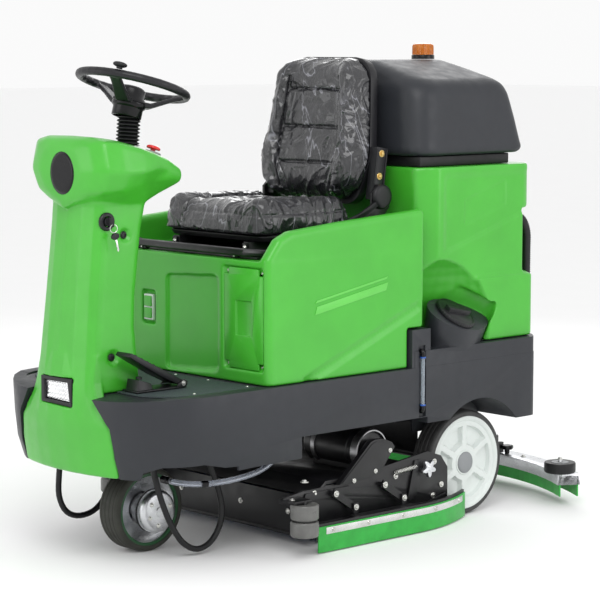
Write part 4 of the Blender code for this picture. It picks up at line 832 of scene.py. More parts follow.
def drive_wheel():
    """The ribbed tyre, its rim, the hub motor and the fork's bolts."""
    tyre = Group("drive_tyre_tread", "tyre_olive", "drive_wheel")
    r, h = 0.1255, DRIVE_HALF
    profile = [(0.1082, h - 0.001), (0.112, h), (0.1185, h - 0.0008), (0.1228, h - 0.004), (0.1248, h - 0.009)]
    for x in (0.026, 0.009, -0.009, -0.026):
        profile += [(r, x + 0.0045), (r - 0.0016, x + 0.002), (r - 0.0016, x - 0.002), (r, x - 0.0045)]
    profile += [(0.1248, -h + 0.009), (0.1228, -h + 0.004), (0.1185, -h + 0.0008), (0.112, -h), (0.1082, -h + 0.001)]
    tyre.turned(profile, DRIVE, (1, 0, 0), 96, True)
    tyre.done(30, ("drive_tyre",))
    Group("drive_rim_ring", "green_ring", "drive_wheel").turned([(0.1078, h - 0.0025), (0.1078, h - 0.01),
        (0.1, h - 0.012), (0.0992, h - 0.004), (0.101, h - 0.0022)], DRIVE, (1, 0, 0), 80, True).done()
    Group("drive_rim_cone", "aluminium", "drive_wheel").turned([(0.1072, h - 0.011), (0.1072, -h + 0.003),
        (0.05, -h + 0.0025), (0.05, 0.006), (0.056, 0.0085), (0.063, 0.011), (0.078, 0.0205), (0.09, 0.0275),
        (0.096, 0.031), (0.0985, 0.033)], DRIVE, (1, 0, 0), 80, True).done(30, ("drive_rim",))
    Group("hub_motor_cover", "aluminium", "drive_unit").turned(mm((0, 92.5), (14, 92.5), (15.5, 90), (50, 90),
        (56.5, 88), (60.8, 84), (63, 78), (63.8, 70), (63.8, 55), (62, 52.5), (40, 52.5), (40, 40), (46, 40),
        (46, -48), (0, -48)), DRIVE, (1, 0, 0), 72).done(28, ("hub_motor",))
    Group("hub_motor_seal", "gloss_black", "drive_unit").turned(mm((65.2, 56), (65.2, 62), (64, 63), (63.6, 62),
        (63.6, 56)), DRIVE, (1, 0, 0), 64, True).done()
    bolts = Group("hub_motor_bolts", "zinc", "drive_unit")
    for i in range(6):
        a = tau * (i + 0.35) / 6
        bolts.bolt(DRIVE + Vector((0.09, 0.04 * cos(a), 0.04 * sin(a))), (1, 0, 0), 0.0044, 0.0034)
    bolts.done(30)
    fork = Group("drive_fork_bolts", "zinc", "drive_unit")
    for y in (-0.03, 0.03):
        fork.bolt((DRIVE.x + 0.044, DRIVE.y + y, 0.3062), (0, 0, 1), 0.006, 0.0045)
    for y, z in ((-0.02, 0.19), (0.02, 0.19), (0.0, 0.25)):
        fork.bolt((DRIVE.x - DRIVE_HALF - 0.0222, DRIVE.y + y, z), (-1, 0, 0), 0.006, 0.0045)
    fork.done(30)


def front_pipework():
    """The clear drain hose on the base's lower edge behind the drive wheel, and its fittings."""
    Group("water_hose_clear", "hose_clear", "chassis").tube(along_route([(0.24, -0.046, 0.25), (0.27, -0.04, 0.247),
        (0.3, -0.015, 0.243), (0.322, 0.03, 0.24), (0.336, 0.09, 0.241), (0.344, 0.15, 0.246), (0.348, 0.21, 0.256),
        (0.346, 0.262, 0.276), (0.342, 0.3, 0.306)], 48), 0.0084, 16).done(60)
    fitting = Group("water_hose_fittings", "gloss_black", "chassis")
    fitting.turned(mm((0, 12), (8, 12), (11, 9), (11, -12), (8.5, -14), (8.5, -24), (0, -24)), (0.234, -0.046, 0.25),
        (-1.0, 0.0, 0.05), 24)
    fitting.turned(mm((0, 10), (10.5, 9), (10.5, -10), (0, -10)), (0.322, 0.03, 0.24), (0.35, 0.93, 0.0), 20)
    fitting.done()


# ---------------------------------------------------------------- rear wheels
def rear_wheel(side, sign):
    """A grooved tyre on a rim with six spokes, and the hub's cap."""
    centre = Vector((sign * 0.2975, 1.1, 0.1675))
    half, radius = 0.0425, 0.1675
    tyre = Group(f"rear_tread_{side}", "tyre_grey", f"rear_wheel_{side}")
    profile = [(0.1492, half - 0.0032), (0.156, half - 0.003), (0.1615, half - 0.0042), (0.165, half - 0.0075),
        (0.1668, half - 0.012)]
    for x in (0.018, 0.0, -0.018):
        profile += [(radius, x + 0.0062), (radius - 0.0018, x + 0.0036), (radius - 0.0018, x - 0.0036),
            (radius, x - 0.0062)]
    profile += [(0.1668, -half + 0.012), (0.165, -half + 0.0075), (0.1615, -half + 0.0042), (0.156, -half + 0.003),
        (0.1492, -half + 0.0032)]
    tyre.turned(profile, centre, (sign, 0, 0), 112, True)
    tyre.done(30, (f"rear_tyre_{side}",))

    rim = Group(f"rear_rim_spoked_{side}", "rim_white", f"rear_wheel_{side}")
    bm = bmesh.new()
    sides, spokes = 168, 6
    radii = [0.04, 0.045, 0.05, 0.056, 0.06, 0.064, 0.072, 0.085, 0.098, 0.108, 0.114, 0.118, 0.123, 0.128, 0.132]
    face = half - 0.009

    def depth(r, t):
        """How far a point of the rim's face lies below it: six pockets between the spokes."""
        turn = (t / tau * spokes) % 1.0
        from_spoke = min(turn, 1 - turn) / spokes * tau * r
        across = min(1.0, max(0.0, (from_spoke - 0.01) / 0.0045))
        along = min(1.0, max(0.0, (r - 0.057) / 0.005)) * min(1.0, max(0.0, (0.118 - r) / 0.005))
        step = across * along
        return 0.015 * step * step * (3 - 2 * step)

    def ring(r, height_at):
        return [bm.verts.new((r * cos(tau * i / sides), r * sin(tau * i / sides),
            height_at(tau * i / sides))) for i in range(sides)]

    rows = [ring(0.013, lambda t: -half + 0.005), ring(0.013, lambda t: half - 0.006), ring(0.038,
        lambda t: half - 0.006)]
    rows += [ring(r, lambda t, r=r: face - depth(r, t)) for r in radii]
    rows += [ring(r, lambda t, h=h: h) for r, h in ((0.135, half - 0.006), (0.1385, half - 0.003),
        (0.144, half - 0.0022), (0.1484, half - 0.003), (0.1484, -half + 0.003), (0.138, -half + 0.003),
        (0.134, -half + 0.008), (0.13, -0.01), (0.045, -0.012), (0.036, -half + 0.005))]
    skin(bm, rows, True)
    rim.take(bm, MACHINE @ Matrix.Translation(centre) @ turned_to((sign, 0, 0)))
    rim.done(34, (f"rear_rim_{side}",))
    Group(f"rear_hub_cap_{side}", "cap_grey", f"rear_wheel_{side}").turned([(0, half + 0.001), (0.016, half + 0.0006),
        (0.026, half - 0.0006), (0.032, half - 0.003), (0.0345, half - 0.0055), (0.035, half - 0.0095),
        (0.0, half - 0.0095)], centre, (sign, 0, 0), 44).done(50)


# ---------------------------------------------------------------- tank side
FILLER = Vector((0.356, 1.022, 0.648))
FILLER_UP = Vector((0.555, 0.163, 0.816)).normalized()
BEACON = (0, 1.24, 1.4392)


def tank_details():
    """The beacon, the level tube, the ridged drain hose and the filler caps' knurled rims."""
    glow = Group("beacon_lens", "amber", "lid")
    glow.turned(mm((0, 52), (12, 51.8), (22, 50.8), (29, 49), (32.5, 46.2), (34.2, 42), (34.6, 38), (34.8, 14.5),
        (0, 14.5)), BEACON, (0, 0, 1), 144, wave=lambda t: 1.0 + 0.014 * cos(36 * t))
    glow.done(24, ("beacon",))
    Group("beacon_base", "gloss_black", "lid").turned(mm((0, 14.2), (35.2, 14.2), (36.8, 13), (37.5, 10), (37.5, 0),
        (0, 0)), BEACON, (0, 0, 1), 48).done(40)
    tube = Group("level_sight_tube", "tube", "chassis")
    x, y = 0.401, 0.837
    tube.tube([(x, y, 0.372 + 0.183 * i / 12) for i in range(13)], 0.0058, 16)
    tube.done(60)
    ends = Group("level_tube_ends", "gloss_black", "chassis")
    for z, way in ((0.374, 1), (0.551, -1)):
        ends.tube(along_route([(x - 0.0085, y, z - 0.004 * way), (x - 0.003, y, z - 0.003 * way),
            (x, y, z + 0.004 * way), (x, y, z + 0.013 * way)], 12), 0.0078, 16)
    ends.done(50, ("level_tube",))
    rings = Group("level_tube_rings", "blue", "chassis")
    for z in (0.389, 0.536):
        rings.turned(mm((8.8, 2.2), (8.8, -2.2), (5.8, -2.2), (5.8, 2.2)), (x, y, z), (0, 0, 1), 20, True)
    rings.done()

    hose = Group("drain_hose_ridged", "rubber", "chassis")
    route = [(0.284, 1.348, 0.918), (0.288, 1.376, 0.932), (0.292, 1.404, 0.92), (0.294, 1.4215, 0.88),
        (0.294, 1.4225, 0.82), (0.293, 1.4225, 0.64), (0.292, 1.4225, 0.5), (0.291, 1.4225, 0.4)]
    hose.tube(along_route(route, 171), 0.0165, 18, 0.13)
    hose.done(70, ("drain_hose",))
    plug = Group("drain_hose_plug", "gloss_black", "chassis")
    plug.turned(mm((0, 20), (15, 20), (18.5, 17), (19.5, 0), (18.5, -6), (0, -6)), (0.291, 1.4225, 0.392), (0, 0, -1),
        12)
    plug.turned(mm((18, 4), (19, 0), (19, -10), (17.5, -14), (15, -14), (15, 4)), (0.291, 1.4225, 0.43), (0, 0, 1),
        28, True)
    plug.done()
    for side, sign in SIDES:
        up = Vector((FILLER_UP.x * sign, FILLER_UP.y, FILLER_UP.z))
        seat = Vector((FILLER.x * sign, FILLER.y, FILLER.z)) + up * 0.0012
        Group(f"filler_cap_rim_{side}", "black", f"filler_{side}").turned(mm((62.5, 12.8), (64.8, 12.2), (67.2, 9),
            (68, 4), (68, 0.2), (60, 0.2), (60, 12.8)), seat, up, 144, True,
            wave=lambda t: 1 + 0.01 * cos(48 * t)).done(30)


# ---------------------------------------------------------------- seat hardware
BACK_TILT = radians(8)
RECLINE = Vector((0.0, 0.8, 1.022))
BACK_LEAN = Matrix.Translation(RECLINE) @ Matrix.Rotation(-BACK_TILT, 4, "X")  # from upright over the recline axis
BACK_PLACE = MACHINE @ Matrix.Translation(RECLINE) @ Matrix.Rotation(-BACK_TILT, 4, "X")


def seat_hardware():
    """Bolts, ribs, the recliner's boss and the ends of the seat's rails."""
    brass = Group("backrest_bolts", "yellow_zinc", "backrest")
    for sign in (1, -1):
        for z in (0.062, 0.132):
            brass.bolt(BACK_LEAN @ Vector((sign * 0.2402, -0.003, z)), (sign, 0, 0), 0.0068, 0.0052)
    brass.done(30)
    ribs = Group("backrest_arm_ribs", "black", "backrest")
    for y in (-0.023, 0.017):
        ribs.prism(mm((-2.5, 20), (2.5, 20), (2.5, 146), (-2.5, 146)), "X", 0.2385, 0.243, 0.0008,
            BACK_PLACE @ Matrix.Translation((0, y, 0)))
    ribs.done(30)
    Group("recliner_boss", "black", "recliner").turned(mm((0, 12), (24, 12), (31, 11.2), (36, 8.5), (38.5, 4),
        (39, 0.4), (0, 0.4)), (0.2552, RECLINE.y, RECLINE.z), (1, 0, 0), 48).done(50)
    rail = Group("seat_rail_details", "steel_black", "seat_mount")
    for sign in (1, -1):
        rail.box((sign * 0.163 - 0.01, 0.322, 0.8765), (sign * 0.163 + 0.01, 0.336, 0.902), 0.0015)
    rail.box((-0.03, 0.246, 0.874), (0.03, 0.262, 0.8925), 0.003)
    rail.done(30)
    bolts = Group("seat_rail_bolts", "zinc", "seat_mount")
    for x in (-0.163, 0.163):
        bolts.bolt((x, 0.3222, 0.889), (0, -1, 0), 0.0048, 0.0036)
    for x in (-0.215, 0.215):
        bolts.bolt((x, 0.238, 0.8735), (0, -1, 0), 0.0042, 0.003, washer=False)
    bolts.done(30)


def flank_band(side, sign):
    """A raised diagonal band across the seat box's flank, in place of any lettering."""
    band = Group(f"flank_band_{side}", "green_light", "chassis")
    for lift, tall in ((0.0, 0.024), (0.034, 0.008)):
        band.prism([(0.4, 0.7 + lift), (0.408, 0.7 + lift + tall), (0.7, 0.752 + lift + tall), (0.692, 0.752 + lift)],
            "X", sign * 0.3846, sign * 0.3868, 0.0008)
    band.done(30)


def hatch_details():
    """The hatch's latch, and the screws of the hatch and of the mat."""
    latch = Group("hatch_latch_frame", "rim_white", "chassis")
    y = 0.2235
    latch.box((-0.182, y - 0.0075, 0.654), (-0.14, y + 0.005, 0.732), 0.0025)
    latch.done(30)
    pads = Group("hatch_latch_pads", "green", "chassis")
    for z0, z1 in ((0.659, 0.691), (0.695, 0.727)):
        pads.box((-0.176, y - 0.0125, z0), (-0.144, y - 0.006, z1), 0.0026)
    pads.done(30)
    screws = Group("hatch_screws", "zinc", "chassis")
    for x, z in ((0.203, 0.832), (0.351, 0.832), (0.203, 0.559), (0.351, 0.559)):
        screws.screw((x, 0.2262, z), (0, -1, 0), 0.0048)
    for x, y in ((-0.325, 0.19), (0.325, 0.19), (-0.325, -0.01), (0.325, -0.01), (0.18, -0.11), (-0.18, -0.11),
            (0.0, 0.19), (0.15, 0.19), (-0.15, 0.19)):
        screws.screw((x, y, 0.504), (0, 0, 1), 0.005)
    screws.done(30)


def pedal_details():
    """The pedal's side plates, pins, return spring and grip bars."""
    arm = Group("pedal_side_plates", "steel_black", "chassis")
    for x in (0.1475, 0.2205):
        arm.prism(mm((10, 511.5), (50, 511.5), (52, 524), (40, 531), (20, 520)), "X", x - 0.0016, x + 0.0016, 0.0006)
    arm.done(30)
    pins = Group("pedal_pins", "zinc", "chassis")
    for sign, x in ((1, 0.2224), (-1, 0.1456)):
        pins.bolt((x, 0.036, 0.519), (sign, 0, 0), 0.0046, 0.0034)
    pins.done(30)
    Group("pedal_spring", "steel_black", "chassis").tube([(0.185 + 0.008 * cos(t), -0.098 + 0.008 * sin(t),
        0.5405 + 0.006 * t / (5 * tau)) for t in (5 * tau * i / 90 for i in range(91))], 0.0012, 8).done(60)
    grips = Group("pedal_grip_bars", "rubber", "pedal")
    along = Vector((0, -0.184, 0.093)).normalized()
    up = Vector((0, 0.093, 0.184)).normalized()
    for i in range(7):
        mid = Vector((0.185, 0.036, 0.529)) + along * (0.04 + 0.024 * i) + up * 0.0006
        frame_axes = Matrix((Vector((1, 0, 0)), along, up)).transposed().to_4x4()
        grips.box((-0.026, -0.0035, -0.001), (0.026, 0.0035, 0.0018), 0.0008,
            MACHINE @ Matrix.Translation(mid) @ frame_axes)
    grips.done(30)


# ---------------------------------------------------------------- deck, blades and squeegee
DECK_HALF = 0.362
LINK_Y, LINK_REACH = (0.486, 0.691), 0.078  # where each side blade's two links start, and how far back they reach
BUMPER_X, BUMPER_Y = 0.449, 0.3
END_WHEEL_X, END_WHEEL_Y = 0.447, 1.428


def deck_details():
    """The belt cover, skirts, bolts, side bars, spring, motor, tension knob and bumper wheels."""
    guard = Group("belt_guard_cover", "steel_black", "deck")
    guard.prism(mm((502, 181.5), (560, 181.5), (672, 196), (735, 270), (722, 286), (690, 299), (652, 302),
        (632, 296)), "X", 0.364, 0.3838, 0.0016)
    guard.prism(mm((510, 185), (556, 185), (668, 200), (726, 269), (715, 281), (688, 293), (656, 295.5), (637, 290)),
        "X", 0.3842, 0.3862, 0.0006)
    guard.done(30, ("belt_guard",))
    skirt = Group("deck_skirts", "steel_black", "deck")
    for y, lip in ((0.416, -0.003), (0.9, 0.003)):
        skirt.box((-0.352, y, 0.024), (0.352, y + 0.004, 0.15), 0.0008)
        skirt.box((-0.352, y + min(0.0, lip), 0.024), (0.352, y + 0.004 + max(0.0, lip), 0.033), 0.0008)
    skirt.done(30)
    bolts = Group("deck_skirt_bolts", "zinc", "deck")
    for x in (-0.25, 0.034, 0.25):
        bolts.bolt((x, 0.4157, 0.095), (0, -1, 0), 0.0056, 0.004)
    bolts.done(30)
    bolts = Group("deck_bolts", "zinc", "deck")
    for sign in (1, -1):
        x = sign * (DECK_HALF + 0.0006)
        for y, z in ((0.392, 0.13), (0.42, 0.165), (0.93, 0.196), (0.962, 0.12), (0.845, 0.066), (0.64, 0.066),
                (0.46, 0.066), (0.76, 0.172), (0.925, 0.09)):
            bolts.bolt((x, y, z), (sign, 0, 0), 0.0058, 0.0044)
        for y in LINK_Y:
            bolts.bolt((sign * 0.3872, y, 0.158), (sign, 0, 0), 0.0062, 0.0044)
        bolts.bolt((sign * BUMPER_X, BUMPER_Y, 0.2282), (0, 0, 1), 0.0075, 0.0056)
        bolts.bolt((sign * 0.424, 0.274, 0.1742), (0, 0, 1), 0.0052, 0.004)
    for y, z in ((0.56, 0.188), (0.65, 0.206), (0.712, 0.262)):
        bolts.bolt((DECK_HALF + 0.0244, y, z), (1, 0, 0), 0.0046, 0.0036)
    bolts.done(30)
    frame_bars = Group("deck_side_frames", "steel_black", "deck")
    for sign in (1, -1):
        x0, x1 = sign * (DECK_HALF + 0.0004), sign * (DECK_HALF + 0.006)
        frame_bars.prism(mm((430, 52), (900, 52), (960, 66), (976, 84), (976, 94), (900, 76), (430, 76)), "X", x0, x1,
            0.001)
        frame_bars.prism(mm((372, 146), (560, 146), (560, 170), (380, 170)), "X", x0, x1, 0.001)
        frame_bars.prism(mm((806, 90), (846, 90), (862, 212), (838, 212)), "X", x0, x1, 0.001)
    frame_bars.done(30)
    spring = Group("deck_tension_spring", "zinc", "deck")
    a, b = Vector((0.37, 0.752, 0.1855)), Vector((0.37, 0.838, 0.1925))
    turns = 15
    along = (b - a).normalized()
    side = Vector((1, 0, 0))
    up = along.cross(side)
    coil = [a + (b - a) * (i / (turns * 12)) + (side * cos(tau * i / 12) + up * sin(tau * i / 12)) * 0.0068
        for i in range(turns * 12 + 1)]
    spring.tube(coil, 0.0013, 7)
    spring.done(60)
    clamp = Group("brush_motor_straps", "strap", "deck")
    for x, half in ((0.14, 0.008), (0.325, 0.016)):
        clamp.turned([(0.064, half), (0.0655, half - 0.002), (0.0655, 0.002 - half), (0.064, -half), (0.0603, -half),
            (0.0603, half)], (x, 0.68, 0.258), (1, 0, 0), 48, True)
    clamp.done(30)
    motor = Group("brush_motor_body", "steel_black", "deck", "grey_plastic")
    motor.turned(mm((0, 126), (20, 126), (22, 121), (52, 121), (58, 118), (60, 113), (60, 78), (58, 76), (58, 70),
        (60, 68), (60, -113), (56, -121), (0, -124)), (0.215, 0.68, 0.258), (1, 0, 0), 56)
    motor.box((0.12, 0.64, 0.1962), (0.32, 0.72, 0.225), 0.003)
    motor.done(34, ("brush_motor",))
    star = Group("tension_star_knob", "aluminium", "tensioner")
    place = Vector((DECK_HALF + 0.0012, 0.885, 0.183))
    star.turned(mm((0, 27), (8, 26.8), (10, 25.5), (26.5, 24.5), (29, 22), (29, 13), (27, 10.5), (10, 10), (9.5, 0),
        (0, 0)), place, (1, 0, 0), 80, wave=lambda t: 1.0 - 0.46 * (0.5 - 0.5 * cos(5 * t)) ** 1.1)
    star.done(34, ("tension_knob",))
    for side, sign in SIDES:
        wheel = Group(f"bumper_wheels_{side}", "roller", f"bumper_{side}")
        profile = mm((36, 48), (39.5, 47), (41.5, 44), (42, 40), (42, 10), (41.2, 6), (38.5, 3.2), (23, 3), (23, -3),
            (38.5, -3.2), (41.2, -6), (42, -10), (42, -40), (41.5, -44), (39.5, -47), (36, -48), (30, -45.5),
            (6.5, -45.5), (6.5, 45.5), (30, 45.5))
        wheel.turned(profile, (sign * BUMPER_X, BUMPER_Y, 0.116), (0, 0, 1), 48, True)
        wheel.done(40, (f"bumper_roller_{side}",))


def brush_roll(name, y, body, phase):
    """A cylindrical brush: rows of tufts wound in a shallow spiral."""
    bm = bmesh.new()
    rows, sides, length, radius = 90, 96, 0.64, 0.078
    made = []
    for k in range(rows + 1):
        x = -length / 2 + length * k / rows
        ring = []
        for i in range(sides):
            t = tau * i / sides
            wind = cos(8 * t + 26 * x + phase)
            tuft = cos(tau * x / 0.0215)
            r = radius - 0.005 * max(0.0, wind) - 0.0016 * max(0.0, tuft) - (0.004 if k in (0, rows) else 0)
            ring.append(bm.verts.new((x, r * cos(t), r * sin(t))))
        made.append(ring)
    skin(bm, made)
    bm.faces.new(made[0])
    bm.faces.new(made[-1])
    bristles = Group(name + "_bristles", "bristle", body)
    bristles.take(bm, MACHINE @ Matrix.Translation((0, y, 0.082)))
    bristles.turned(mm((0, 345), (28, 345), (30, 342), (30, -342), (28, -345), (0, -345)), (0, y, 0.082), (1, 0, 0),
        32)
    bristles.done(70, (name,))


def side_path(inset, count=25):
    """The side blade's line seen from above: straight, then bent in behind the deck."""
    points = []
    for i in range(count):
        y = 0.372 + (1.075 - 0.372) * i / (count - 1)
        bend = max(0.0, y - 0.8) / 0.275
        points.append((0.433 - inset - 0.074 * bend**2, y))
    return points


def ribbon(group, path, thick, z0, z1, sign, bevel):
    """A strip that stands along a path."""
    outline = [*path, *[(x - thick, y) for x, y in reversed(path)]]
    group.prism([(sign * x, y) for x, y in outline], "Z", z0, z1, bevel)


def side_blades(side, sign):
    """A rubber blade, the strip that clamps it, its screws and its carrier."""
    body = f"side_blade_{side}"
    rubber = Group(f"side_blade_rubber_{side}", "blade", body)
    ribbon(rubber, side_path(0.0002), 0.0046, 0.0035, 0.08, sign, 0.0008)
    rubber.done(30, (f"side_squeegee_{side}",))
    steel = Group(f"side_blade_clamp_{side}", "stainless", body)
    outer = [(x + 0.0014, y) for x, y in side_path(0.0)][1:-1]
    ribbon(steel, outer, 0.0013, 0.056, 0.076, sign, 0.0003)
    steel.done(30)
    screws = Group(f"side_blade_screws_{side}", "zinc", body)
    path = side_path(-0.0014)
    for k in (2, 7, 12, 17, 22):
        (x0, y0), (x1, y1) = path[k - 1], path[k + 1]
        normal = Vector((y1 - y0, -(x1 - x0), 0)).normalized()
        screws.bolt((sign * path[k][0], path[k][1], 0.066), (sign * normal.x, normal.y, 0), 0.0048, 0.0034)
    for y in (start + LINK_REACH for start in LINK_Y):
        screws.bolt((sign * 0.3921, y, 0.108), (sign, 0, 0), 0.006, 0.0044)
    screws.done(30)
    carrier = Group(f"side_blade_carrier_{side}", "steel_black", body)
    ribbon(carrier, side_path(0.0054), 0.009, 0.04, 0.088, sign, 0.001)
    carrier.box((sign * 0.388, 0.54, 0.082), (sign * 0.422, 0.8, 0.087), 0.0008)
    for y in (start + LINK_REACH for start in LINK_Y):
        carrier.box((sign * 0.386, y - 0.01, 0.083), (sign * 0.3915, y + 0.01, 0.12), 0.001)
    carrier.done(30)


def rear_squeegee_details():
    """Studs, star knobs, the release tab, end wheels and the hose collar."""
    bolts = Group("squeegee_studs", "zinc", "squeegee")
    knobs = Group("squeegee_star_knobs", "gloss_black", "squeegee")
    radius, middle = 0.893, 1.6 - 0.893
    for a in (-0.36, -0.19, 0.19, 0.36):
        x, y = radius * sin(a), middle + (radius - 0.018) * cos(a)
        bolts.bolt((x * 0.985, y, 0.1046), (0, 0, 1), 0.0058, 0.005)
    for sign in (1, -1):
        for a in (0.1, 0.46):
            x, y = sign * radius * sin(a) * 0.985, middle + (radius - 0.02) * cos(a)
            if abs(x) < 0.1:
                y -= 0.004
            knobs.turned(mm((0, 30), (10, 29.8), (19, 28), (21.5, 25), (21.5, 18), (19, 15), (9, 12), (8, 0), (0, 0)),
                (x, y, 0.1046), (0, 0, 1), 60, wave=lambda t: 1.0 - 0.16 * (0.5 - 0.5 * cos(6 * t)) ** 1.4)
    bolts.done(30)
    knobs.done(34)
    Group("squeegee_release_tab", "yellow", "squeegee").box((0.395, 1.49, 0.1046), (0.425, 1.52, 0.113),
        0.002).done(30)
    for side, sign in SIDES:
        roller = Group(f"squeegee_end_wheel_{side}", "rubber", f"end_roller_{side}")
        centre = (sign * END_WHEEL_X, END_WHEEL_Y, 0.127)
        roller.turned(mm((30, 15), (44, 17.2), (49, 16), (50.8, 12.5), (51, 6), (51, -10), (50, -15), (47, -17.6),
            (30, -16.5), (6.8, -16.5), (6.8, 15)), centre, (0, 0, 1), 56, True)
        roller.done(36, (f"squeegee_roller_{side}",))
        Group(f"squeegee_wheel_hub_{side}", "cap_grey", f"end_roller_{side}").turned(mm((28, 16.8), (28, 14),
            (6.8, 14), (6.8, 17.5), (24, 17.5)), centre, (0, 0, 1), 40, True).done(36)
        Group(f"squeegee_wheel_bolt_{side}", "zinc", "squeegee").bolt((sign * END_WHEEL_X, END_WHEEL_Y, 0.1522),
            (0, 0, 1), 0.0064, 0.005).done(30)
    Group("squeegee_hose_collar", "rubber", "squeegee").turned(mm((28.5, 30), (30, 26), (30, 4), (28.5, 0), (26.5, 0),
        (26.5, 30)), (0, 1.58, 0.126), (0, 0, 1), 40, True).done(40)


# ---------------------------------------------------------------- film-wrapped cushions
PAD_VOXEL = 0.0055
MOST_PUFF = 0.022  # the farthest that the simulation may move a point
CORE_SHRINK = 0.985  # the inner face of a pad beside its outer one


def folds(p, seed):
    """Creases of a loose film over padding: a few long sharp ridges and many short ones."""
    q = Vector((p.x * 11.0 + seed, p.y * 11.0, p.z * 11.0))
    warp = Vector((noise.noise(q * 0.7 + Vector((5, 1, 2))), noise.noise(q * 0.7 + Vector((1, 7, 3))),
        noise.noise(q * 0.7 + Vector((2, 3, 9)))))
    long_fold = 1.0 - abs(noise.noise(Vector((q.x * 0.55, q.y * 1.2, q.z * 0.7)) + warp * 1.5)) * 4.6
    short_fold = 1.0 - abs(noise.noise(q * 2.1 + warp * 2.2)) * 4.0
    return 0.0044 * max(0.0, long_fold) ** 2 + 0.002 * max(0.0, short_fold) ** 2


def sew(obj, depth, keep):
    """Moves a pad's points out along its normals by depth(point), where keep(point) holds."""
    normals = [v.normal.copy() for v in obj.data.vertices]
    for vert, normal in zip(obj.data.vertices, normals):
        if keep(vert.co):
            vert.co += normal * depth(vert.co)
    obj.data.update()


def wrap(obj, seed, amount, keep):
    """Raises the film's folds on a pad."""
    sew(obj, lambda p: folds(p, seed) * amount, keep)


def puffed(name, bm, pressure, pins):
    """A closed pad blown up as cloth: it starts a little small, and the pressure inside fills it."""
    obj = remeshed(from_bm(name, bm), PAD_VOXEL, 4)
    before = [v.co.copy() for v in obj.data.vertices]
    group = obj.vertex_groups.new(name="held")
    group.add([i for i, co in enumerate(before) if pins(co)], 1.0, "REPLACE")
    cloth = modify(obj, "CLOTH")
    settings = cloth.settings
    settings.quality = 5
    settings.mass = 0.2
    settings.tension_stiffness = 20
    settings.compression_stiffness = 20
    settings.shear_stiffness = 12
    settings.bending_stiffness = 0.5
    settings.use_pressure = True
    settings.uniform_pressure_force = pressure
    settings.effector_weights.gravity = 0.0
    settings.vertex_group_mass = "held"
    cloth.collision_settings.use_collision = False
    cloth.point_cache.frame_start = 1
    cloth.point_cache.frame_end = 20
    for step in range(1, 21):
        scene.frame_set(step)
    apply_modifiers(obj)
    scene.frame_set(1)
    for vert, start in zip(obj.data.vertices, before):
        move = vert.co - start
        if move.length > MOST_PUFF:
            vert.co = start + move * (MOST_PUFF / move.length)
    return obj


def finer(pad):
    """Subdivides a pad once."""
    modify(pad, "SUBSURF", levels=1, render_levels=1)
    return apply_modifiers(pad)


def even(i, n):
    """Steps from 0 to 1 that close up towards both ends."""
    t = i / n
    return t - 0.09 * sin(tau * t)


def bump_at(value, centre, width):
    """A smooth hill, 1 at the centre."""
    return exp(-((value - centre) / width) ** 2)


def cornered(x, y, half_x, half_y, corner, edge):
    """A point of a rectangle pulled in to round its corners, and how far it lies from the edge."""
    dx, dy = max(0.0, abs(x) - (half_x - corner)), max(0.0, abs(y) - (half_y - corner))
    if dx > 0 and dy > 0:
        far, most = hypot(dx, dy), max(dx, dy)
        x -= copysign(dx - dx * most / far, x)
        y -= copysign(dy - dy * most / far, y)
        edge = corner - most
    return x, y, edge


def pad_mesh(place, across, along):
    """A closed pad: place(u, v, outer) is a point of its outer face or of its flat inner one."""
    bm = bmesh.new()
    outer, inner = ([[bm.verts.new(place(2 * even(i, across) - 1, even(j, along),
        face)) for i in range(across + 1)] for j in range(along + 1)] for face in (True, False))
    for j in range(along):
        for i in range(across):
            bm.faces.new((outer[j][i], outer[j][i + 1], outer[j + 1][i + 1], outer[j + 1][i]))
            bm.faces.new((inner[j][i], inner[j + 1][i], inner[j + 1][i + 1], inner[j][i + 1]))
    skin(bm, [[*g[0], *[row[-1] for row in g[1:]], *reversed(g[-1][:-1]),
        *[row[0] for row in reversed(g[1:-1])]] for g in (outer, inner)])
    return bm


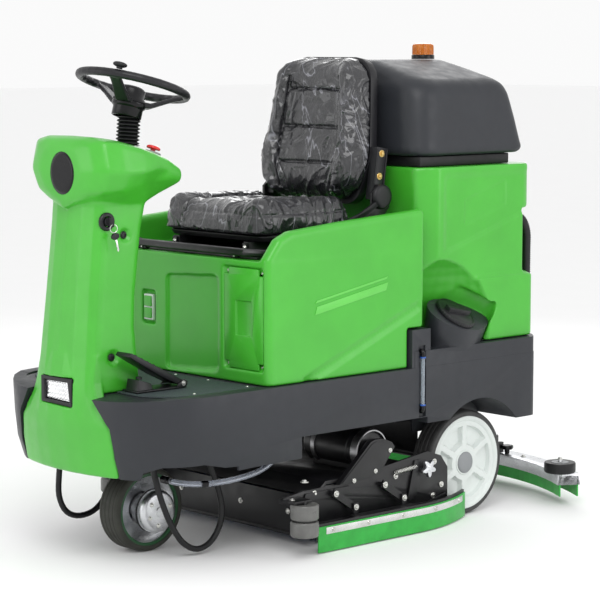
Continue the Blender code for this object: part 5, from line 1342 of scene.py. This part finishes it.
def seat_cushion():
    """A wide pad with a raised bolster along each side and a lip in front, wrapped in clear film."""
    half_x, y0, y1, floor_z, top_z = 0.231, 0.322, 0.706, 0.9266, 1.042
    middle, half_y = (y0 + y1) / 2, (y1 - y0) / 2

    def lift(u, v):
        """The top's height above its foot at u across (-1 to 1) and v from front to back (0 to 1)."""
        bolster = 0.026 * bump_at(abs(u), 0.8, 0.22)
        front = 0.012 * bump_at(v, 0.1, 0.14)
        saddle = -0.01 * bump_at(u, 0.0, 0.5) * bump_at(v, 0.62, 0.32)
        return 0.064 + bolster + front + saddle + 0.004 * v

    def place(u, v, top):
        """A plan with round corners, a rounded upper edge and a flat underside."""
        edge = min((1 - abs(u)) * half_x, min(v, 1 - v) * (y1 - y0))
        x, y, edge = cornered(u * half_x, y0 + (y1 - y0) * v - middle, half_x, half_y, 0.05, edge)
        y += middle
        if not top:
            return Vector((x * CORE_SHRINK, (y - 0.527) * CORE_SHRINK + 0.527, floor_z))
        round_off = 1.0 - max(0.0, 1 - edge / 0.036) ** 2.4
        return Vector((x, y, floor_z + lift(u, v) * max(0.0, round_off) ** 0.5 * (1 if edge > 0 else 0) + 0.004))

    def stitches(p):
        u, v = p.x / half_x, (p.y + SHIFT - y0) / (y1 - y0)
        side = bump_at(abs(u), 0.56, 0.022)
        cross = sum(bump_at(v, c, 0.013) for c in (0.36, 0.66)) if abs(u) < 0.56 else 0.0
        welt = bump_at(p.z - floor_z, 0.058, 0.0045) if abs(u) > 0.9 or v < 0.06 else 0.0
        return -0.0055 * max(side, cross) - 0.003 * welt

    pad = finer(puffed("seat_cushion_pad", pad_mesh(lambda *spot: at(*place(*spot)), 92, 88), 1.6,
        lambda p: p.z < floor_z + 0.004))
    sew(pad, stitches, lambda p: p.z > floor_z + 0.02)
    wrap(pad, 3.0, 1.0, lambda p: p.z > floor_z + 0.006)
    for vert in pad.data.vertices:
        vert.co.z = min(max(vert.co.z, floor_z), top_z)
    shown_for("seat_cushion", pad, "vinyl", 80)


BACK_LOW, BACK_TOP = -0.02, 0.42  # the pad's ends over the recline axis


def back_half(z):
    """Half the width of the backrest at a height over the recline axis."""
    low_half, wide_z, wide, top_half = 0.182, 0.14, 0.216, 0.172
    if z < wide_z:
        return low_half + (wide - low_half) * sin(pi / 2 * max(0.0, (z - BACK_LOW) / (wide_z - BACK_LOW)))
    return wide - (wide - top_half) * ((z - wide_z) / (BACK_TOP - wide_z)) ** 1.4


def back_cushion():
    """A centre panel with sewn channels between two bolsters, wrapped in clear film."""
    upright = BACK_PLACE.inverted()
    middle, half_z = (BACK_LOW + BACK_TOP) / 2, (BACK_TOP - BACK_LOW) / 2
    rear_y = -0.0325

    def depth(u, v):
        bolster = 0.04 * bump_at(abs(u), 0.82, 0.2) * (1 if v < 0.7 else 1 - 0.5 * (v - 0.7) / 0.3)
        return 0.034 + bolster + 0.016 * bump_at(v, 0.9, 0.12) + 0.01 * bump_at(v, 0.2, 0.18)

    def place(u, v, front):
        z = BACK_LOW + (BACK_TOP - BACK_LOW) * v
        half = back_half(z)
        edge = min(half - abs(u * half), half_z - abs(z - middle))
        x, z, edge = cornered(u * half, z - middle, half, half_z, 0.07, edge)
        z += middle
        if not front:
            return BACK_PLACE @ Vector((x * CORE_SHRINK, rear_y, (z - 0.21) * CORE_SHRINK + 0.21))
        round_off = 1.0 - max(0.0, 1 - max(0.0, edge) / 0.034) ** 2.4
        return BACK_PLACE @ Vector((x, rear_y - 0.002 - depth(u, v) * max(0.0, round_off) ** 0.5, z))

    def stitches(p):
        q = upright @ p
        u, v = q.x / back_half(q.z), (q.z - BACK_LOW) / (BACK_TOP - BACK_LOW)
        side = bump_at(abs(u), 0.6, 0.022) if 0.06 < v < 0.86 else 0.0
        inside = abs(u) < 0.6
        lines = sum(bump_at(v, c, 0.011) for c in (0.246, 0.5, 0.765)) if inside else 0.0
        puff = 0.0045 * abs(sin(pi * (v - 0.246) / 0.257)) if inside and 0.05 < v < 0.765 else 0.0
        return puff - 0.0085 * min(1.0, side + lines)

    pad = finer(puffed("backrest_pad", pad_mesh(place, 84, 84), 1.2, lambda p: (upright @ p).y > -0.038))
    sew(pad, stitches, lambda p: (upright @ p).y < -0.045)
    wrap(pad, 11.0, 0.75, lambda p: (upright @ p).y < -0.036)
    for vert in pad.data.vertices:
        local = upright @ vert.co
        if local.y > rear_y:
            local.y = rear_y
            vert.co = BACK_PLACE @ local
    shown_for("backrest_cushion", pad, "vinyl", 80)


column_details()
steering_wheel()
drive_wheel()
front_pipework()
under_frame()
tank_details()
seat_hardware()
hatch_details()
pedal_details()
deck_details()
brush_roll("brush_front", 0.52, "front_brush", 0.0)
brush_roll("brush_rear", 0.8, "rear_brush", 1.6)
rear_squeegee_details()
for SIDE, SIGN in SIDES:
    rear_wheel(SIDE, SIGN)
    side_blades(SIDE, SIGN)
    flank_band(SIDE, SIGN)
seat_cushion()
back_cushion()
